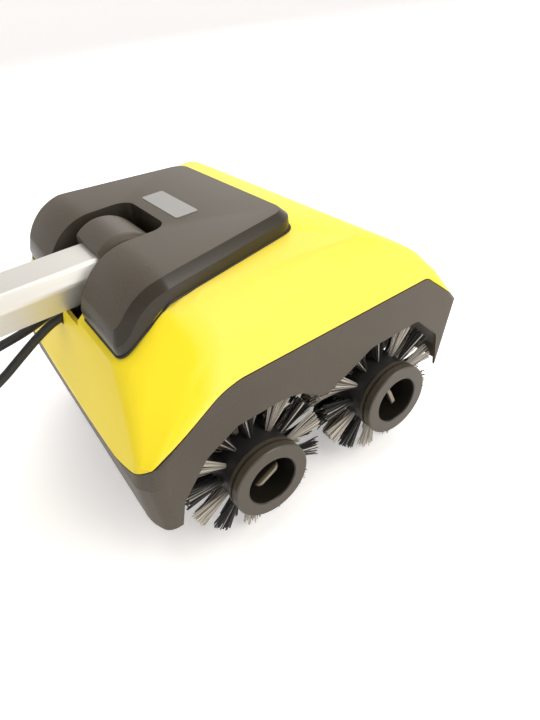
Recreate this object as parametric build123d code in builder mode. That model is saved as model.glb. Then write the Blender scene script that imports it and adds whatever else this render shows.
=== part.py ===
"""Electric patio cleaner: a moulded head on two roller brushes that turn against each other,
with a tilting pole, a motor cable, a water hose and a switch handle.

Millimetres. +Z is up, -Y is the front, and the pole points to the rear, +Y. The pieces are drawn
about the point on the floor midway between the two brush axles. They are saved about the middle of
the whole length, so that the origin lies on the floor under the middle of the overall box.
"""

import os
from math import acos, atan2, cos, degrees, pi, radians, sin, sqrt, tan

from build123d import *

os.makedirs("parts", exist_ok=True)

# Fits
running_fit = 0.06
seat_gap = 0.3
press_gap = 0.02

# Brushes and axles
axle_spacing = 126.0
brush_tip_radius = 61.5
floor_trim = 0.5
axle_radius = 9.0
axle_flats = 15.4
hub_face_x = 160.0
hub_ring_radius = 31.3
hub_ring_width = 6.0
hub_groove_width = 2.5
hub_groove_depth = 2.8
hub_flange_width = 2.5
hub_bore_radius = 20.0
hub_edge = 0.9
hub_bore_depth = 26.0
core_radius = 29.0
core_wall = 3.5
core_web = 4.0
core_sleeve_wall = 3.2
brush_case_gap = 2.0
sleeve_thickness = 1.0
sleeve_end_gap = 1.0
tuft_rings = 8
tufts_per_ring = 13
tuft_root_width = 3.2
tuft_tip_width = 8.5
tuft_thickness = 3.0
tuft_edge_margin = 6.0

# Brush lock in the hub bore
lock_disc_radius = 15.0
lock_disc_thickness = 3.0
lock_stub_radius = 4.0
lock_stub_length = 12.0
lock_tab_width = 24.0
lock_tab_length = 16.7
lock_tab_thickness = 3.0
lock_tab_corner = 6.0
rear_lock_angle = 155.0
front_lock_angle = 69.0

# Head form: heights, then plan places of the moulded skin
skirt_bottom_z = 58.0
skirt_corner_radius = 11.0
rear_seam_z = 100.0
nose_z = 117.0
side_seam_z = 152.5
crease_z = 170.0
shoulder_z = 201.0
rear_crown_power = 1.3
side_crown_power = 1.6
front_crown_power = 1.08
skirt_front_y = -128.0
nose_y = -145.0
brow_y = -105.0
ridge_y = -60.0
rear_face_y = 149.0
rear_corner = 13.0
horn_rear_y = 128.0
cover_bend_y = 88.0
side_x = 147.0
crease_x = 138.5
shoulder_front_x = 128.0
shoulder_rear_x = 107.0
corner_top_y = 83.0
corner_slope = 1.243
corner_taper = 0.677
hood_corner_radius = 7.0
hood_rear_radius = 70.0
skin_wall = 3.2
seam_gap = 0.8
seam_front_y = -104.5
seam_rear_y = 77.0
fold_rear_y = 90.0
seam_bend_radius = 10.0
seam_top_radius = 50.0
seam_low_y = 138.5
seam_low_z = 115.2
rear_arch_z = 90.0
rear_arch_half_x = 151.0
rear_arch_rise = 38.0

# Top cover
cover_top_z = 216.0
cover_front_y = -32.0
cover_front_x = 84.0
cover_wide_x = 109.0
cover_wide_y = 84.0
cover_rear_x = 105.5
cover_rear_y = 124.0
cover_slope_y = 99.5
cover_slope_angle = 50.0
cover_slope_radius = 46.0
cover_front_radius = 20.0
cover_corner_radius = 12.0
cover_bevel = 6.0
cover_seam_radius = 22.0
cover_seam_gap = 0.5
cover_wall = 3.0
cover_ledge = 6.0
well_x = 37.0
well_front_y = 46.5
well_corner_radius = 13.0
well_skirt_z = 176.0
well_wall = 2.5
notch_x = 30.0
notch_floor_z = 166.0
cord_notch_room = 1.5
cord_notch_z = 151.5

# Base
tunnel_clearance = 4.0
tunnel_wall = 3.0
tunnel_skirt_z = 75.0
spray_roof_z = 99.0
spray_roof_half_y = 13.0
arch_bend_radius = 8.0
arch_top_z = 117.0
arch_dip_z = 98.0
arch_rear_foot_y = 131.0
arch_front_foot_y = -123.5
pad_top_z = 133.0
pad_half_x = 44.0
pad_front_y = 50.0
pad_rear_y = 112.0

# Gear train
drive_module = 2.0
drive_teeth = 21
reduction_module = 1.5
motor_teeth = 18
reduction_teeth = 38
pressure_angle = 20.0
gear_backlash = 0.3
gear_face = 11.0
drive_plane_x = -13.0
reduction_plane_x = 1.0
lay_angle = 75.0
idler_shaft_radius = 5.0
lay_shaft_radius = 6.0
motor_shaft_radius = 5.0
gear_tip_room = 2.0
case_wall = 3.5
case_inner_x = 14.0
case_half_x = 22.0
case_foot_width = 15.0
case_foot_thickness = 4.0
case_foot_x = 48.0
case_slot_gap = 0.5
bearing_width = 5.0
bearing_wall = 6.0
seal_wall = 4.0

# Motor
motor_radius = 33.0
shield_thickness = 4.0
stator_length = 52.0
stator_bore = 19.6
rotor_radius = 19.0
rotor_length = 44.0
end_cap_length = 18.0
end_cap_wall = 2.5
fan_radius = 27.0
fan_blades = 9
capacitor_radius = 14.5
capacitor_length = 60.0
spray_bar_radius = 4.0
spray_bar_z = 90.5
spray_nozzles = 6
spray_bar_end_x = 118.0

# Pole joint and pole
pivot_y = 77.5
pivot_z = 186.5
knuckle_radius = 29.5
knuckle_half_x = 27.0
knuckle_edge_radius = 6.0
pin_radius = 6.0
pin_head_radius = 8.5
pin_head_thickness = 1.5
ear_thickness = 5.5
ear_radius = 14.0
bracket_base = 6.0
bracket_wall_y = 104.0
bracket_wall_thickness = 4.0
bracket_wall_top_z = 167.0
tube_start = 19.5
tube_top_x = 18.5
tube_top_rise = 17.0
tube_shoulder_x = 23.5
tube_shoulder_rise = 6.0
tube_bottom_x = 10.0
tube_bottom_drop = 17.0
tube_edge_radius = 4.0
tube_wall = 1.3
tube_length = 430.0
spigot_length = 45.0
coupling_length = 46.0
coupling_wall = 2.5

# Cords
cord_radius = 3.5
cord_gap = 0.8
cable_exit_x = 10.0
hose_exit_x = 25.0
cable_x = -8.0
hose_x = 8.0
clip_wall = 2.0
clip_width = 10.0
clip_first_y = 375.0
clip_second_y = 640.0
clip_third_y = 840.0
cord_sag = 6.0
clip_lead = 4.0
gland_z = 157.5
gland_radius = 6.5
gland_neck_radius = 5.0
gland_length = 12.0

# Handle
handle_reach = 994.0
handle_loop_length = 104.0
handle_loop_height = 104.0
handle_bar = 26.0
handle_loop_radius = 30.0
handle_half_x = 15.0
handle_wall = 2.5
socket_length = 62.0
socket_half_x = 27.5
socket_half_z = 32.0
handle_edge_radius = 5.0
trigger_length = 26.0
trigger_half_x = 6.5
trigger_proud = 7.0
trigger_depth = 12.0
trigger_travel = 5.0
trigger_gap = 0.4
lock_button_radius = 5.0
lock_button_travel = 3.0
dial_radius = 12.0
dial_height = 8.0
dial_stem_radius = 3.0
inlet_radius = 9.0
inlet_length = 44.0
nipple_radius = 6.5
nipple_length = 22.0
tap_radius = 8.0
tap_length = 11.0
tap_stem_radius = 3.0
mains_gland_length = 24.0

# Worked-out places
axle_y = axle_spacing / 2
axle_z = brush_tip_radius - floor_trim
drive_pitch_radius = drive_module * drive_teeth / 2
idler_y = axle_y - 2 * drive_pitch_radius
lay_y = -idler_y + 2 * drive_pitch_radius * cos(radians(lay_angle))
lay_z = axle_z + 2 * drive_pitch_radius * sin(radians(lay_angle))
reduction_distance = reduction_module * (motor_teeth + reduction_teeth) / 2
motor_y = 0.0
motor_z = lay_z + sqrt(reduction_distance**2 - (motor_y - lay_y) ** 2)
roller_x = case_half_x + brush_case_gap
web_x = hub_face_x - hub_bore_depth
tunnel_radius = brush_tip_radius + tunnel_clearance
tube_y = pivot_y + tube_start
tube_joint_y = tube_y + tube_length
tube_end_y = tube_joint_y + tube_length
tube_bottom_z = pivot_z - tube_bottom_drop
cord_z = tube_bottom_z - coupling_wall - cord_gap - cord_radius
shield_x = case_half_x
stator_x = shield_x + shield_thickness
end_cap_x = stator_x + stator_length
cap_face_x = end_cap_x + end_cap_length
handle_end_y = pivot_y + handle_reach
loop_y = handle_end_y - handle_loop_length / 2
inlet_x = socket_half_x + inlet_radius + 1.5
inlet_y = handle_end_y - handle_loop_length - socket_length + handle_bar + 14.0
inlet_z = pivot_z - tube_bottom_drop
tap_y = inlet_y + inlet_length / 2
mains_y = handle_end_y - handle_loop_radius - 4.0
socket_y = handle_end_y - handle_loop_length - socket_length + handle_bar


def save(piece, label):
    """Move a finished piece into the shared frame, name it and write its STEP file."""
    placed = piece.part.moved(Location((0, -(nose_y + handle_end_y) / 2, 0)))
    placed.label = label
    export_step(placed, f"parts/{label}.step")


def across(x, y, z, turn=0.0):
    """Plane facing +X at a point, its first direction turned from +Y towards +Z."""
    lean = radians(turn)
    return Plane(origin=(x, y, z), x_dir=(0, cos(lean), sin(lean)), z_dir=(1, 0, 0))


def along(y):
    """Plane facing along the pole at one place, with its second direction up."""
    return Plane(origin=(0, y, pivot_z), x_dir=(-1, 0, 0), z_dir=(0, 1, 0))


# Head form
def soft_radius(before, here, after):
    """Widest radius that the two runs at a rear corner leave room for, within the named limits."""
    into = Vector(*here) - Vector(*before)
    out = Vector(*after) - Vector(*here)
    room = 0.36 * min(into.length, out.length) / tan(radians(into.get_angle(out)) / 2)
    return min(hood_rear_radius, max(hood_corner_radius, room))


def hood_outline(z, corners, inset):
    """Plan outline of the moulded form at one height: front, rim, crease and rear corner."""
    mirrored = [(-x, y) for x, y in reversed(corners)]
    rear = [soft_radius(*run) for run in zip(corners, corners[1:], [*corners[2:], mirrored[0]])]
    radii = [hood_corner_radius, *rear, *reversed(rear), hood_corner_radius]
    with BuildSketch(Plane.XY.offset(z)) as outline:
        with BuildLine():
            FilletPolyline(*corners, *mirrored, radius=radii, close=True)
        make_face()
        if inset > 0:
            offset(amount=-inset)
    return outline.sketch


def rear_at(z):
    """Rear face of the form: upright below the seam, leaning in above it."""
    rise = max(0.0, z - rear_seam_z) / (crease_z - rear_seam_z)
    return rear_face_y - rise * (rear_face_y - horn_rear_y)


def front_at(z):
    """Front face of the form: leaning out up to the nose, then back to the brow."""
    if z < nose_z:
        return skirt_front_y + (z - skirt_bottom_z) / (nose_z - skirt_bottom_z) * (nose_y - skirt_front_y)
    return nose_y + (z - nose_z) / (crease_z - nose_z) * (brow_y - nose_y)


def corner_y(x, z):
    """Place on the slanted rear corner facet at a width and a height."""
    return corner_top_y + (crease_z - z) * corner_slope + (crease_x - x) / corner_taper


def corner_x(y, z):
    """Half width of the slanted rear corner facet at a place and a height."""
    return crease_x - corner_taper * (y - corner_top_y - (crease_z - z) * corner_slope)


def crown(rise, power):
    """Share of the way out from the shoulder to the crease at a share of the rise between them."""
    return (1 - rise**power) ** (1 / power)


def rear_slope_at(z):
    """Rear slope above the crease: straight, then rounded into the flat top."""
    run = horn_rear_y - cover_bend_y
    lean = atan2(shoulder_z - crease_z, run)
    lead = cover_seam_radius * tan(lean / 2)
    depth = shoulder_z - z
    if depth > lead * sin(lean):
        return cover_bend_y + run * depth / (shoulder_z - crease_z)
    return cover_bend_y - lead + sqrt(2 * cover_seam_radius * depth - depth**2)


def crown_corners(rise):
    """Plan corners of the crowned top at a share of the rise from the crease to the shoulder."""
    out = crown(rise, rear_crown_power)
    side_out = crown(rise, side_crown_power)
    front_out = crown(rise, front_crown_power)
    z = crease_z + rise * (shoulder_z - crease_z)
    half_corner = rear_corner / 2
    front_x = shoulder_front_x + side_out * (crease_x - shoulder_front_x)
    rear_x = shoulder_rear_x + out * (crease_x - shoulder_rear_x)
    rear_y = rear_slope_at(z)
    knee_x = rear_x - half_corner / 2
    knee_y = min(corner_y(knee_x, z), rear_y - half_corner)
    return [
        (front_x, ridge_y + front_out * (brow_y - ridge_y)),
        (rear_x, knee_y - rear_corner),
        (knee_x, knee_y),
        (min(corner_x(rear_y, z), knee_x - half_corner / 2), rear_y),
    ]


def low_corner(z):
    """Plan corners of the upright rear corner at a height below the side seam."""
    half_corner = rear_corner / 2
    return [
        (side_x, rear_at(z) - rear_corner),
        (side_x - half_corner * 0.4, rear_at(z) - half_corner),
        (side_x - rear_corner, rear_at(z)),
    ]


def hood(inset, top_drop):
    """The closed form of the head, drawn in by the inset all round."""
    levels = [(z, [(side_x, front_at(z)), *low_corner(z)]) for z in (skirt_bottom_z, rear_seam_z, nose_z)]
    levels += [
        (side_seam_z, [
            (side_x, front_at(side_seam_z)),
            (side_x, fold_rear_y),
            (crease_x, corner_y(crease_x, side_seam_z)),
            (corner_x(rear_at(side_seam_z), side_seam_z), rear_at(side_seam_z)),
        ]),
    ]
    for rise in (0.0, 0.2, 0.4, 0.58, 0.74, 0.87, 0.96, 1.0):
        levels.append((crease_z + rise * (shoulder_z - top_drop - crease_z), crown_corners(rise)))
    outlines = [hood_outline(z, corners, inset) for z, corners in levels]
    with BuildPart() as form:
        loft(outlines, ruled=True)
    return form.part


def seam_region(lift):
    """Everything above the seam between the skin and the base, raised by a gap."""
    far = 2 * side_x
    with BuildPart() as region:
        with BuildSketch(Plane.YZ) as profile:
            with BuildLine():
                Polyline(
                    (far, skirt_bottom_z),
                    (seam_low_y + lift, skirt_bottom_z),
                    (seam_low_y + lift, seam_low_z + lift),
                    (seam_rear_y, side_seam_z + lift),
                    (seam_front_y, side_seam_z + lift),
                    (nose_y, nose_z + lift),
                    (-far, nose_z + lift),
                    (-far, far),
                    (far, far),
                    close=True,
                )
            make_face()
            front_bends = profile.vertices().filter_by_position(Axis.X, nose_y - 1, seam_front_y + 1)
            fillet(front_bends, seam_bend_radius)
            top_bend = profile.vertices().filter_by_position(Axis.X, seam_rear_y - 1, seam_rear_y + 1)
            fillet(top_bend, seam_top_radius)
        extrude(amount=far, both=True)
        with BuildSketch(Plane.XZ):
            with Locations((0, rear_arch_z + rear_arch_rise + lift)):
                Rectangle(2 * rear_arch_half_x, far, align=(Align.CENTER, Align.MAX))
                Ellipse(rear_arch_half_x, rear_arch_rise, mode=Mode.SUBTRACT)
        extrude(amount=-far, mode=Mode.SUBTRACT)
    return region.part


def cover_form(inset, drop, low_z=None):
    """Closed form of the top cover, drawn in by an inset and lowered by a drop.

    It stands on the skin, or on a flat at a low height where one is given.
    """
    right = [(cover_front_x, cover_front_y), (cover_wide_x, cover_wide_y), (cover_rear_x, cover_rear_y)]
    left = [(-x, y) for x, y in reversed(right)]
    radii = [cover_front_radius, *[cover_corner_radius] * 4, cover_front_radius]
    seam_z = shoulder_z + cover_seam_gap - drop
    fall = (shoulder_z - crease_z) * (cover_rear_y - cover_bend_y) / (horn_rear_y - cover_bend_y)
    front_y = cover_front_y - cover_wall
    slope_start = (cover_slope_y, cover_top_z - drop)
    slope_end_z = cover_top_z - drop - (cover_rear_y - cover_slope_y) * tan(radians(cover_slope_angle))
    if low_z is None:
        under = [(front_y, seam_z), (cover_bend_y, seam_z), (cover_rear_y, seam_z - fall)]
    else:
        under = [(front_y, low_z), (cover_rear_y, low_z)]
    with BuildPart() as form:
        with BuildSketch(Plane.YZ) as side:
            with BuildLine():
                Polyline(
                    *under,
                    (cover_rear_y, slope_end_z),
                    slope_start,
                    (front_y, cover_top_z - drop),
                    close=True,
                )
            make_face()
            fillet(side.vertices().sort_by_distance(slope_start)[0], cover_slope_radius)
            if low_z is None:
                fillet(side.vertices().sort_by_distance(under[1])[0], cover_seam_radius)
        extrude(amount=2 * cover_wide_x, both=True)
        with BuildSketch(Plane.XY) as plan:
            with BuildLine():
                FilletPolyline(*right, *left, radius=radii, close=True)
            make_face()
            if inset > 0:
                offset(amount=-inset)
        extrude(amount=2 * cover_top_z, mode=Mode.INTERSECT)
        upright = form.faces().filter_by(lambda face: abs(face.normal_at(face.center()).Z) < 0.01)
        rising = form.faces().filter_by(lambda face: face.normal_at(face.center()).Z > 0.05)
        upright_edges = upright.edges()
        rim = [edge for edge in rising.edges() if any(edge.is_same(other) for other in upright_edges)]
        chamfer(rim, cover_bevel - inset * (2 - sqrt(2)))
    return form.part


def well_prism(grow, low_z, high_z, rear_y):
    """Upright block over the well of the pole joint, open to the rear."""
    depth = rear_y - well_front_y + grow
    with BuildPart() as prism:
        with BuildSketch(Plane.XY.offset(low_z)) as plan:
            with Locations((0, well_front_y - grow)):
                Rectangle(2 * (well_x + grow), depth, align=(Align.CENTER, Align.MIN))
            fillet(plan.vertices().group_by(Axis.Y)[0], well_corner_radius)
        extrude(amount=high_z - low_z)
    return prism.part


hood_outer = hood(0.0, 0.0)
hood_shell = hood_outer - hood(skin_wall, skin_wall)

# Yellow body cover
with BuildPart() as body_cover:
    add(hood_shell)
    add(seam_region(seam_gap), mode=Mode.INTERSECT)
    with BuildSketch(Plane.XY.offset(crease_z)) as opening:
        with BuildLine():
            Polyline(
                (cover_front_x - cover_ledge, cover_front_y + cover_ledge),
                (cover_wide_x - 2 * cover_ledge, cover_wide_y - 2 * cover_ledge),
                (cover_rear_x - 2 * cover_ledge, cover_rear_y - cover_ledge),
                (cover_ledge * 2 - cover_rear_x, cover_rear_y - cover_ledge),
                (cover_ledge * 2 - cover_wide_x, cover_wide_y - 2 * cover_ledge),
                (cover_ledge - cover_front_x, cover_front_y + cover_ledge),
                close=True,
            )
        make_face()
        fillet(opening.vertices(), cover_corner_radius)
    extrude(amount=2 * cover_top_z, mode=Mode.SUBTRACT)
    cord_low_x = cable_exit_x - cord_radius - cord_notch_room
    cord_high_x = hose_exit_x + cord_radius + cord_notch_room
    for low_x, high_x, floor_z in (
        (-notch_x, notch_x, notch_floor_z),
        (cord_low_x, cord_high_x, cord_notch_z),
    ):
        with Locations(((low_x + high_x) / 2, horn_rear_y, floor_z)):
            Box(
                high_x - low_x,
                4 * skin_wall + 2 * cover_ledge,
                cover_top_z,
                align=(Align.CENTER, Align.CENTER, Align.MIN),
                mode=Mode.SUBTRACT,
            )
save(body_cover, "body_cover")

# Dark top cover with the well for the pole joint
with BuildPart() as well_liner:
    add(cover_form(0.0, cover_wall / 2, well_skirt_z))
    add(well_prism(well_wall, 0.0, 2 * cover_top_z, cover_rear_y - cover_wall / 2), mode=Mode.INTERSECT)
with BuildPart() as top_cover:
    add(cover_form(0.0, 0.0))
    add(cover_form(cover_wall, cover_wall), mode=Mode.SUBTRACT)
    add(well_liner.part)
    add(well_prism(0.0, 0.0, 2 * cover_top_z, 2 * horn_rear_y), mode=Mode.SUBTRACT)
save(top_cover, "top_cover")

# Base frame: side panels, skirts, brush tunnels and seats
def deck_profile(grow):
    """Side view of the two brush tunnels and the spray channel between them."""
    with BuildSketch(Plane.YZ) as profile:
        with Locations((-axle_y, axle_z), (axle_y, axle_z)):
            Circle(tunnel_radius + grow)
        with Locations((0, axle_z)):
            Rectangle(
                2 * (spray_roof_half_y + grow),
                spray_roof_z + grow - axle_z,
                align=(Align.CENTER, Align.MIN),
            )
    return profile.sketch


def case_outline(grow):
    """Side view of the gear case: a slot round the axles and a hull up to the motor."""
    with BuildSketch(Plane.YZ) as outline:
        with Locations((lay_y, lay_z)):
            Circle(reduction_module * (reduction_teeth / 2 + 1) + gear_tip_room + grow)
        with Locations((motor_y, motor_z)):
            Circle(reduction_module * (motor_teeth / 2 + 1) + gear_tip_room + grow)
        make_hull()
        with Locations((0, axle_z)):
            SlotCenterToCenter(axle_spacing, 2 * (drive_pitch_radius + drive_module + gear_tip_room + grow))
    return outline.sketch


def arch_outline(x):
    """Opening of a side panel over the two brush ends, at one place across the head."""
    with BuildSketch(Plane.YZ.offset(x)) as arches:
        with BuildLine():
            Polyline(
                (arch_rear_foot_y, skirt_bottom_z - arch_bend_radius),
                (arch_rear_foot_y, skirt_bottom_z),
                (arch_rear_foot_y - 6.0, axle_z + 17.0),
                (axle_y + 39.0, axle_z + 43.5),
                (axle_y + 12.0, arch_top_z),
                (axle_y - 28.0, arch_top_z),
                (axle_y - 43.0, arch_top_z - 5.0),
                (1.0, arch_dip_z),
                (43.0 - axle_y, arch_dip_z + 7.0),
                (16.0 - axle_y, arch_top_z),
                (-axle_y - 34.0, arch_top_z),
                (arch_front_foot_y + 2.0, axle_z + 31.0),
                (arch_front_foot_y, skirt_bottom_z),
                (arch_front_foot_y, skirt_bottom_z - arch_bend_radius),
                close=True,
            )
        make_face()
        bends = arches.vertices().filter_by_position(Axis.Y, skirt_bottom_z + 1, axle_spacing)
        fillet(bends, arch_bend_radius)
    return arches.sketch


panel_cut_x = side_x - skin_wall - seam_gap
foot_z = spray_roof_z + tunnel_wall
bracket_front_y = pad_front_y + 2.0
bracket_rear_y = bracket_wall_y + bracket_wall_thickness
bracket_half_x = pad_half_x - 1.0
ear_x = knuckle_half_x + seat_gap

with BuildPart() as base_frame:
    add(hood_shell)
    add(seam_region(0.0), mode=Mode.SUBTRACT)
    extrude(deck_profile(tunnel_wall), amount=side_x, both=True)
    with Locations((0, axle_y, tunnel_skirt_z)):
        Box(
            2 * side_x,
            rear_face_y - axle_y - skin_wall / 2,
            tunnel_wall,
            align=(Align.CENTER, Align.MIN, Align.MIN),
        )
    with Locations((0, pad_front_y, axle_z)):
        Box(
            2 * pad_half_x,
            pad_rear_y - pad_front_y,
            pad_top_z - axle_z,
            align=(Align.CENTER, Align.MIN, Align.MIN),
        )
    extrude(deck_profile(0.0), amount=panel_cut_x + skin_wall / 2, both=True, mode=Mode.SUBTRACT)
    with Locations((0, 0, tunnel_skirt_z)):
        Box(
            2 * panel_cut_x,
            2 * (axle_y + tunnel_radius),
            axle_spacing,
            align=(Align.CENTER, Align.CENTER, Align.MAX),
            mode=Mode.SUBTRACT,
        )
    add(hood_outer, mode=Mode.INTERSECT)
    with BuildSketch(Plane.YZ) as skirt_line:
        with Locations((0, skirt_bottom_z)):
            Rectangle(2 * rear_face_y, axle_spacing, align=(Align.CENTER, Align.MIN))
        low_rear = skirt_line.vertices().sort_by_distance((rear_face_y, skirt_bottom_z))[0]
        fillet(low_rear, skirt_corner_radius)
    extrude(amount=2 * side_x, both=True, mode=Mode.INTERSECT)
    extrude(arch_outline(panel_cut_x), amount=side_x, mode=Mode.SUBTRACT)
    extrude(arch_outline(-panel_cut_x), amount=-side_x, mode=Mode.SUBTRACT)
    extrude(
        case_outline(case_wall + case_slot_gap),
        amount=case_half_x + case_slot_gap,
        both=True,
        mode=Mode.SUBTRACT,
    )
save(base_frame, "base_frame")

# Gears
def gear_outline(plane, module, teeth):
    """Spur gear outline with chord-shaped involute flanks and a little backlash."""
    pitch = module * teeth / 2
    base = pitch * cos(radians(pressure_angle))
    tip = pitch + module
    root = pitch - 1.25 * module
    start = max(base, root)
    half_at_pitch = pi / (2 * teeth) - gear_backlash / (4 * pitch)
    spread = tan(radians(pressure_angle)) - radians(pressure_angle)
    flank = []
    for radius in (start, (start + pitch) / 2, pitch, (pitch + tip) / 2, tip):
        roll = acos(min(1.0, base / radius))
        flank.append((radius, half_at_pitch + spread - (tan(roll) - roll)))
    flank.insert(0, (root, flank[0][1]))
    points = []
    for tooth in range(teeth):
        centre = 2 * pi * tooth / teeth
        sides = [(radius, centre - half) for radius, half in flank]
        sides += [(radius, centre + half) for radius, half in reversed(flank)]
        points += [(radius * cos(angle), radius * sin(angle)) for radius, angle in sides]
    with BuildSketch(plane) as outline:
        with BuildLine():
            Polyline(*points, close=True)
        make_face()
    return outline.sketch


def mate_turn(turn, teeth, direction, mate_teeth):
    """Turn of a mating gear so that its gap meets the other gear's tooth."""
    phase = (direction - turn) * teeth / 360
    return direction + 180 - (0.5 - phase) * 360 / mate_teeth


def shaft(x0, x1, y, z, radius):
    """Round bar along X."""
    with BuildPart() as bar:
        with BuildSketch(across(x0, y, z)):
            Circle(radius)
        extrude(amount=x1 - x0)
    return bar.part


front_turn = 0.0
front_idler_turn = mate_turn(front_turn, drive_teeth, 0, drive_teeth)
rear_idler_turn = mate_turn(front_idler_turn, drive_teeth, 0, drive_teeth)
rear_turn = mate_turn(rear_idler_turn, drive_teeth, 0, drive_teeth)
lay_turn = mate_turn(front_idler_turn, drive_teeth, lay_angle, drive_teeth)
motor_direction = degrees(atan2(motor_z - lay_z, motor_y - lay_y))
motor_turn = mate_turn(lay_turn, reduction_teeth, motor_direction, motor_teeth)
inner_shaft_x = case_inner_x + bearing_width - seat_gap

for name, y, turn in (("front", -axle_y, front_turn), ("rear", axle_y, rear_turn)):
    with BuildPart() as drive_gear:
        teeth = gear_outline(across(drive_plane_x, y, axle_z, turn), drive_module, drive_teeth)
        extrude(teeth, amount=gear_face)
        add(shaft(-side_x, side_x, y, axle_z, axle_radius + press_gap), mode=Mode.SUBTRACT)
    save(drive_gear, f"{name}_drive_gear")

for name, y, turn in (("front", -idler_y, front_idler_turn), ("rear", idler_y, rear_idler_turn)):
    with BuildPart() as idler:
        teeth = gear_outline(across(drive_plane_x, y, axle_z, turn), drive_module, drive_teeth)
        extrude(teeth, amount=gear_face)
        add(shaft(-inner_shaft_x, inner_shaft_x, y, axle_z, idler_shaft_radius))
    save(idler, f"{name}_idler_gear")

with BuildPart() as layshaft:
    teeth = gear_outline(across(drive_plane_x, lay_y, lay_z, lay_turn), drive_module, drive_teeth)
    extrude(teeth, amount=gear_face)
    add(shaft(-inner_shaft_x, inner_shaft_x, lay_y, lay_z, lay_shaft_radius))
save(layshaft, "layshaft")

with BuildPart() as reduction_gear:
    extrude(
        gear_outline(across(reduction_plane_x, lay_y, lay_z, lay_turn), reduction_module, reduction_teeth),
        amount=gear_face,
    )
    add(shaft(0, side_x, lay_y, lay_z, lay_shaft_radius + press_gap), mode=Mode.SUBTRACT)
save(reduction_gear, "reduction_gear")

with BuildPart() as motor_shaft:
    extrude(
        gear_outline(across(reduction_plane_x, motor_y, motor_z, motor_turn), reduction_module, motor_teeth),
        amount=gear_face,
    )
    add(shaft(reduction_plane_x, cap_face_x - end_cap_wall - seat_gap, motor_y, motor_z, motor_shaft_radius))
save(motor_shaft, "motor_shaft")

# Gear case, bearings and seals
through_shafts = [(-axle_y, axle_z, axle_radius), (axle_y, axle_z, axle_radius)]
inner_shafts = [
    (-idler_y, axle_z, idler_shaft_radius),
    (idler_y, axle_z, idler_shaft_radius),
    (lay_y, lay_z, lay_shaft_radius),
]
motor_bearing = (motor_y, motor_z, motor_shaft_radius)
seal_x = case_inner_x + bearing_width

for name, side in (("left", -1), ("right", 1)):
    with BuildPart() as case_half:
        extrude(case_outline(case_wall), amount=case_half_x, dir=(side, 0, 0))
        with Locations((side * (case_half_x - case_wall), 0, foot_z)):
            Box(
                case_foot_x - case_half_x + case_wall,
                case_foot_width,
                case_foot_thickness,
                align=(Align.MIN if side > 0 else Align.MAX, Align.CENTER, Align.MIN),
            )
        extrude(case_outline(0.0), amount=case_inner_x, dir=(side, 0, 0), mode=Mode.SUBTRACT)
        sockets = through_shafts + inner_shafts + ([motor_bearing] if side > 0 else [])
        for y, z, radius in sockets:
            add(shaft(0, side * seal_x, y, z, radius + bearing_wall + press_gap), mode=Mode.SUBTRACT)
        for y, z, radius in through_shafts:
            add(shaft(0, side * side_x, y, z, radius + seal_wall + press_gap), mode=Mode.SUBTRACT)
        if side > 0:
            add(shaft(0, side_x, motor_y, motor_z, motor_shaft_radius + seat_gap), mode=Mode.SUBTRACT)
    save(case_half, f"gear_case_{name}")

with BuildPart() as shaft_bearings:
    for side in (-1, 1):
        sockets = through_shafts + inner_shafts + ([motor_bearing] if side > 0 else [])
        for y, z, radius in sockets:
            add(shaft(side * case_inner_x, side * seal_x, y, z, radius + bearing_wall))
            add(shaft(0, side * side_x, y, z, radius + running_fit), mode=Mode.SUBTRACT)
save(shaft_bearings, "shaft_bearings")

with BuildPart() as shaft_seals:
    for side in (-1, 1):
        for y, z, radius in through_shafts:
            add(shaft(side * seal_x, side * case_half_x, y, z, radius + seal_wall))
            add(shaft(0, side * side_x, y, z, radius + running_fit), mode=Mode.SUBTRACT)
save(shaft_seals, "shaft_seals")

# Motor
with BuildPart() as motor_end_shield:
    add(shaft(shield_x, stator_x, motor_y, motor_z, motor_radius))
    add(shaft(0, side_x, motor_y, motor_z, motor_shaft_radius + 1.0), mode=Mode.SUBTRACT)
save(motor_end_shield, "motor_end_shield")

with BuildPart() as motor_stator:
    add(shaft(stator_x, end_cap_x, motor_y, motor_z, motor_radius))
    add(shaft(0, side_x, motor_y, motor_z, stator_bore), mode=Mode.SUBTRACT)
save(motor_stator, "motor_stator")

rotor_x = stator_x + (stator_length - rotor_length) / 2
with BuildPart() as rotor_core:
    add(shaft(rotor_x, rotor_x + rotor_length, motor_y, motor_z, rotor_radius))
    add(shaft(0, side_x, motor_y, motor_z, motor_shaft_radius + press_gap), mode=Mode.SUBTRACT)
save(rotor_core, "rotor_core")

fan_x = end_cap_x + 1.0
fan_width = end_cap_length - end_cap_wall - bearing_width - 3.0
with BuildPart() as cooling_fan:
    add(shaft(fan_x, fan_x + fan_width, motor_y, motor_z, 2 * motor_shaft_radius))
    with BuildSketch(across(fan_x, motor_y, motor_z)):
        with PolarLocations(fan_radius / 2, fan_blades):
            Rectangle(fan_radius, end_cap_wall)
    extrude(amount=fan_width)
    add(shaft(0, side_x, motor_y, motor_z, motor_shaft_radius + press_gap), mode=Mode.SUBTRACT)
save(cooling_fan, "cooling_fan")

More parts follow.
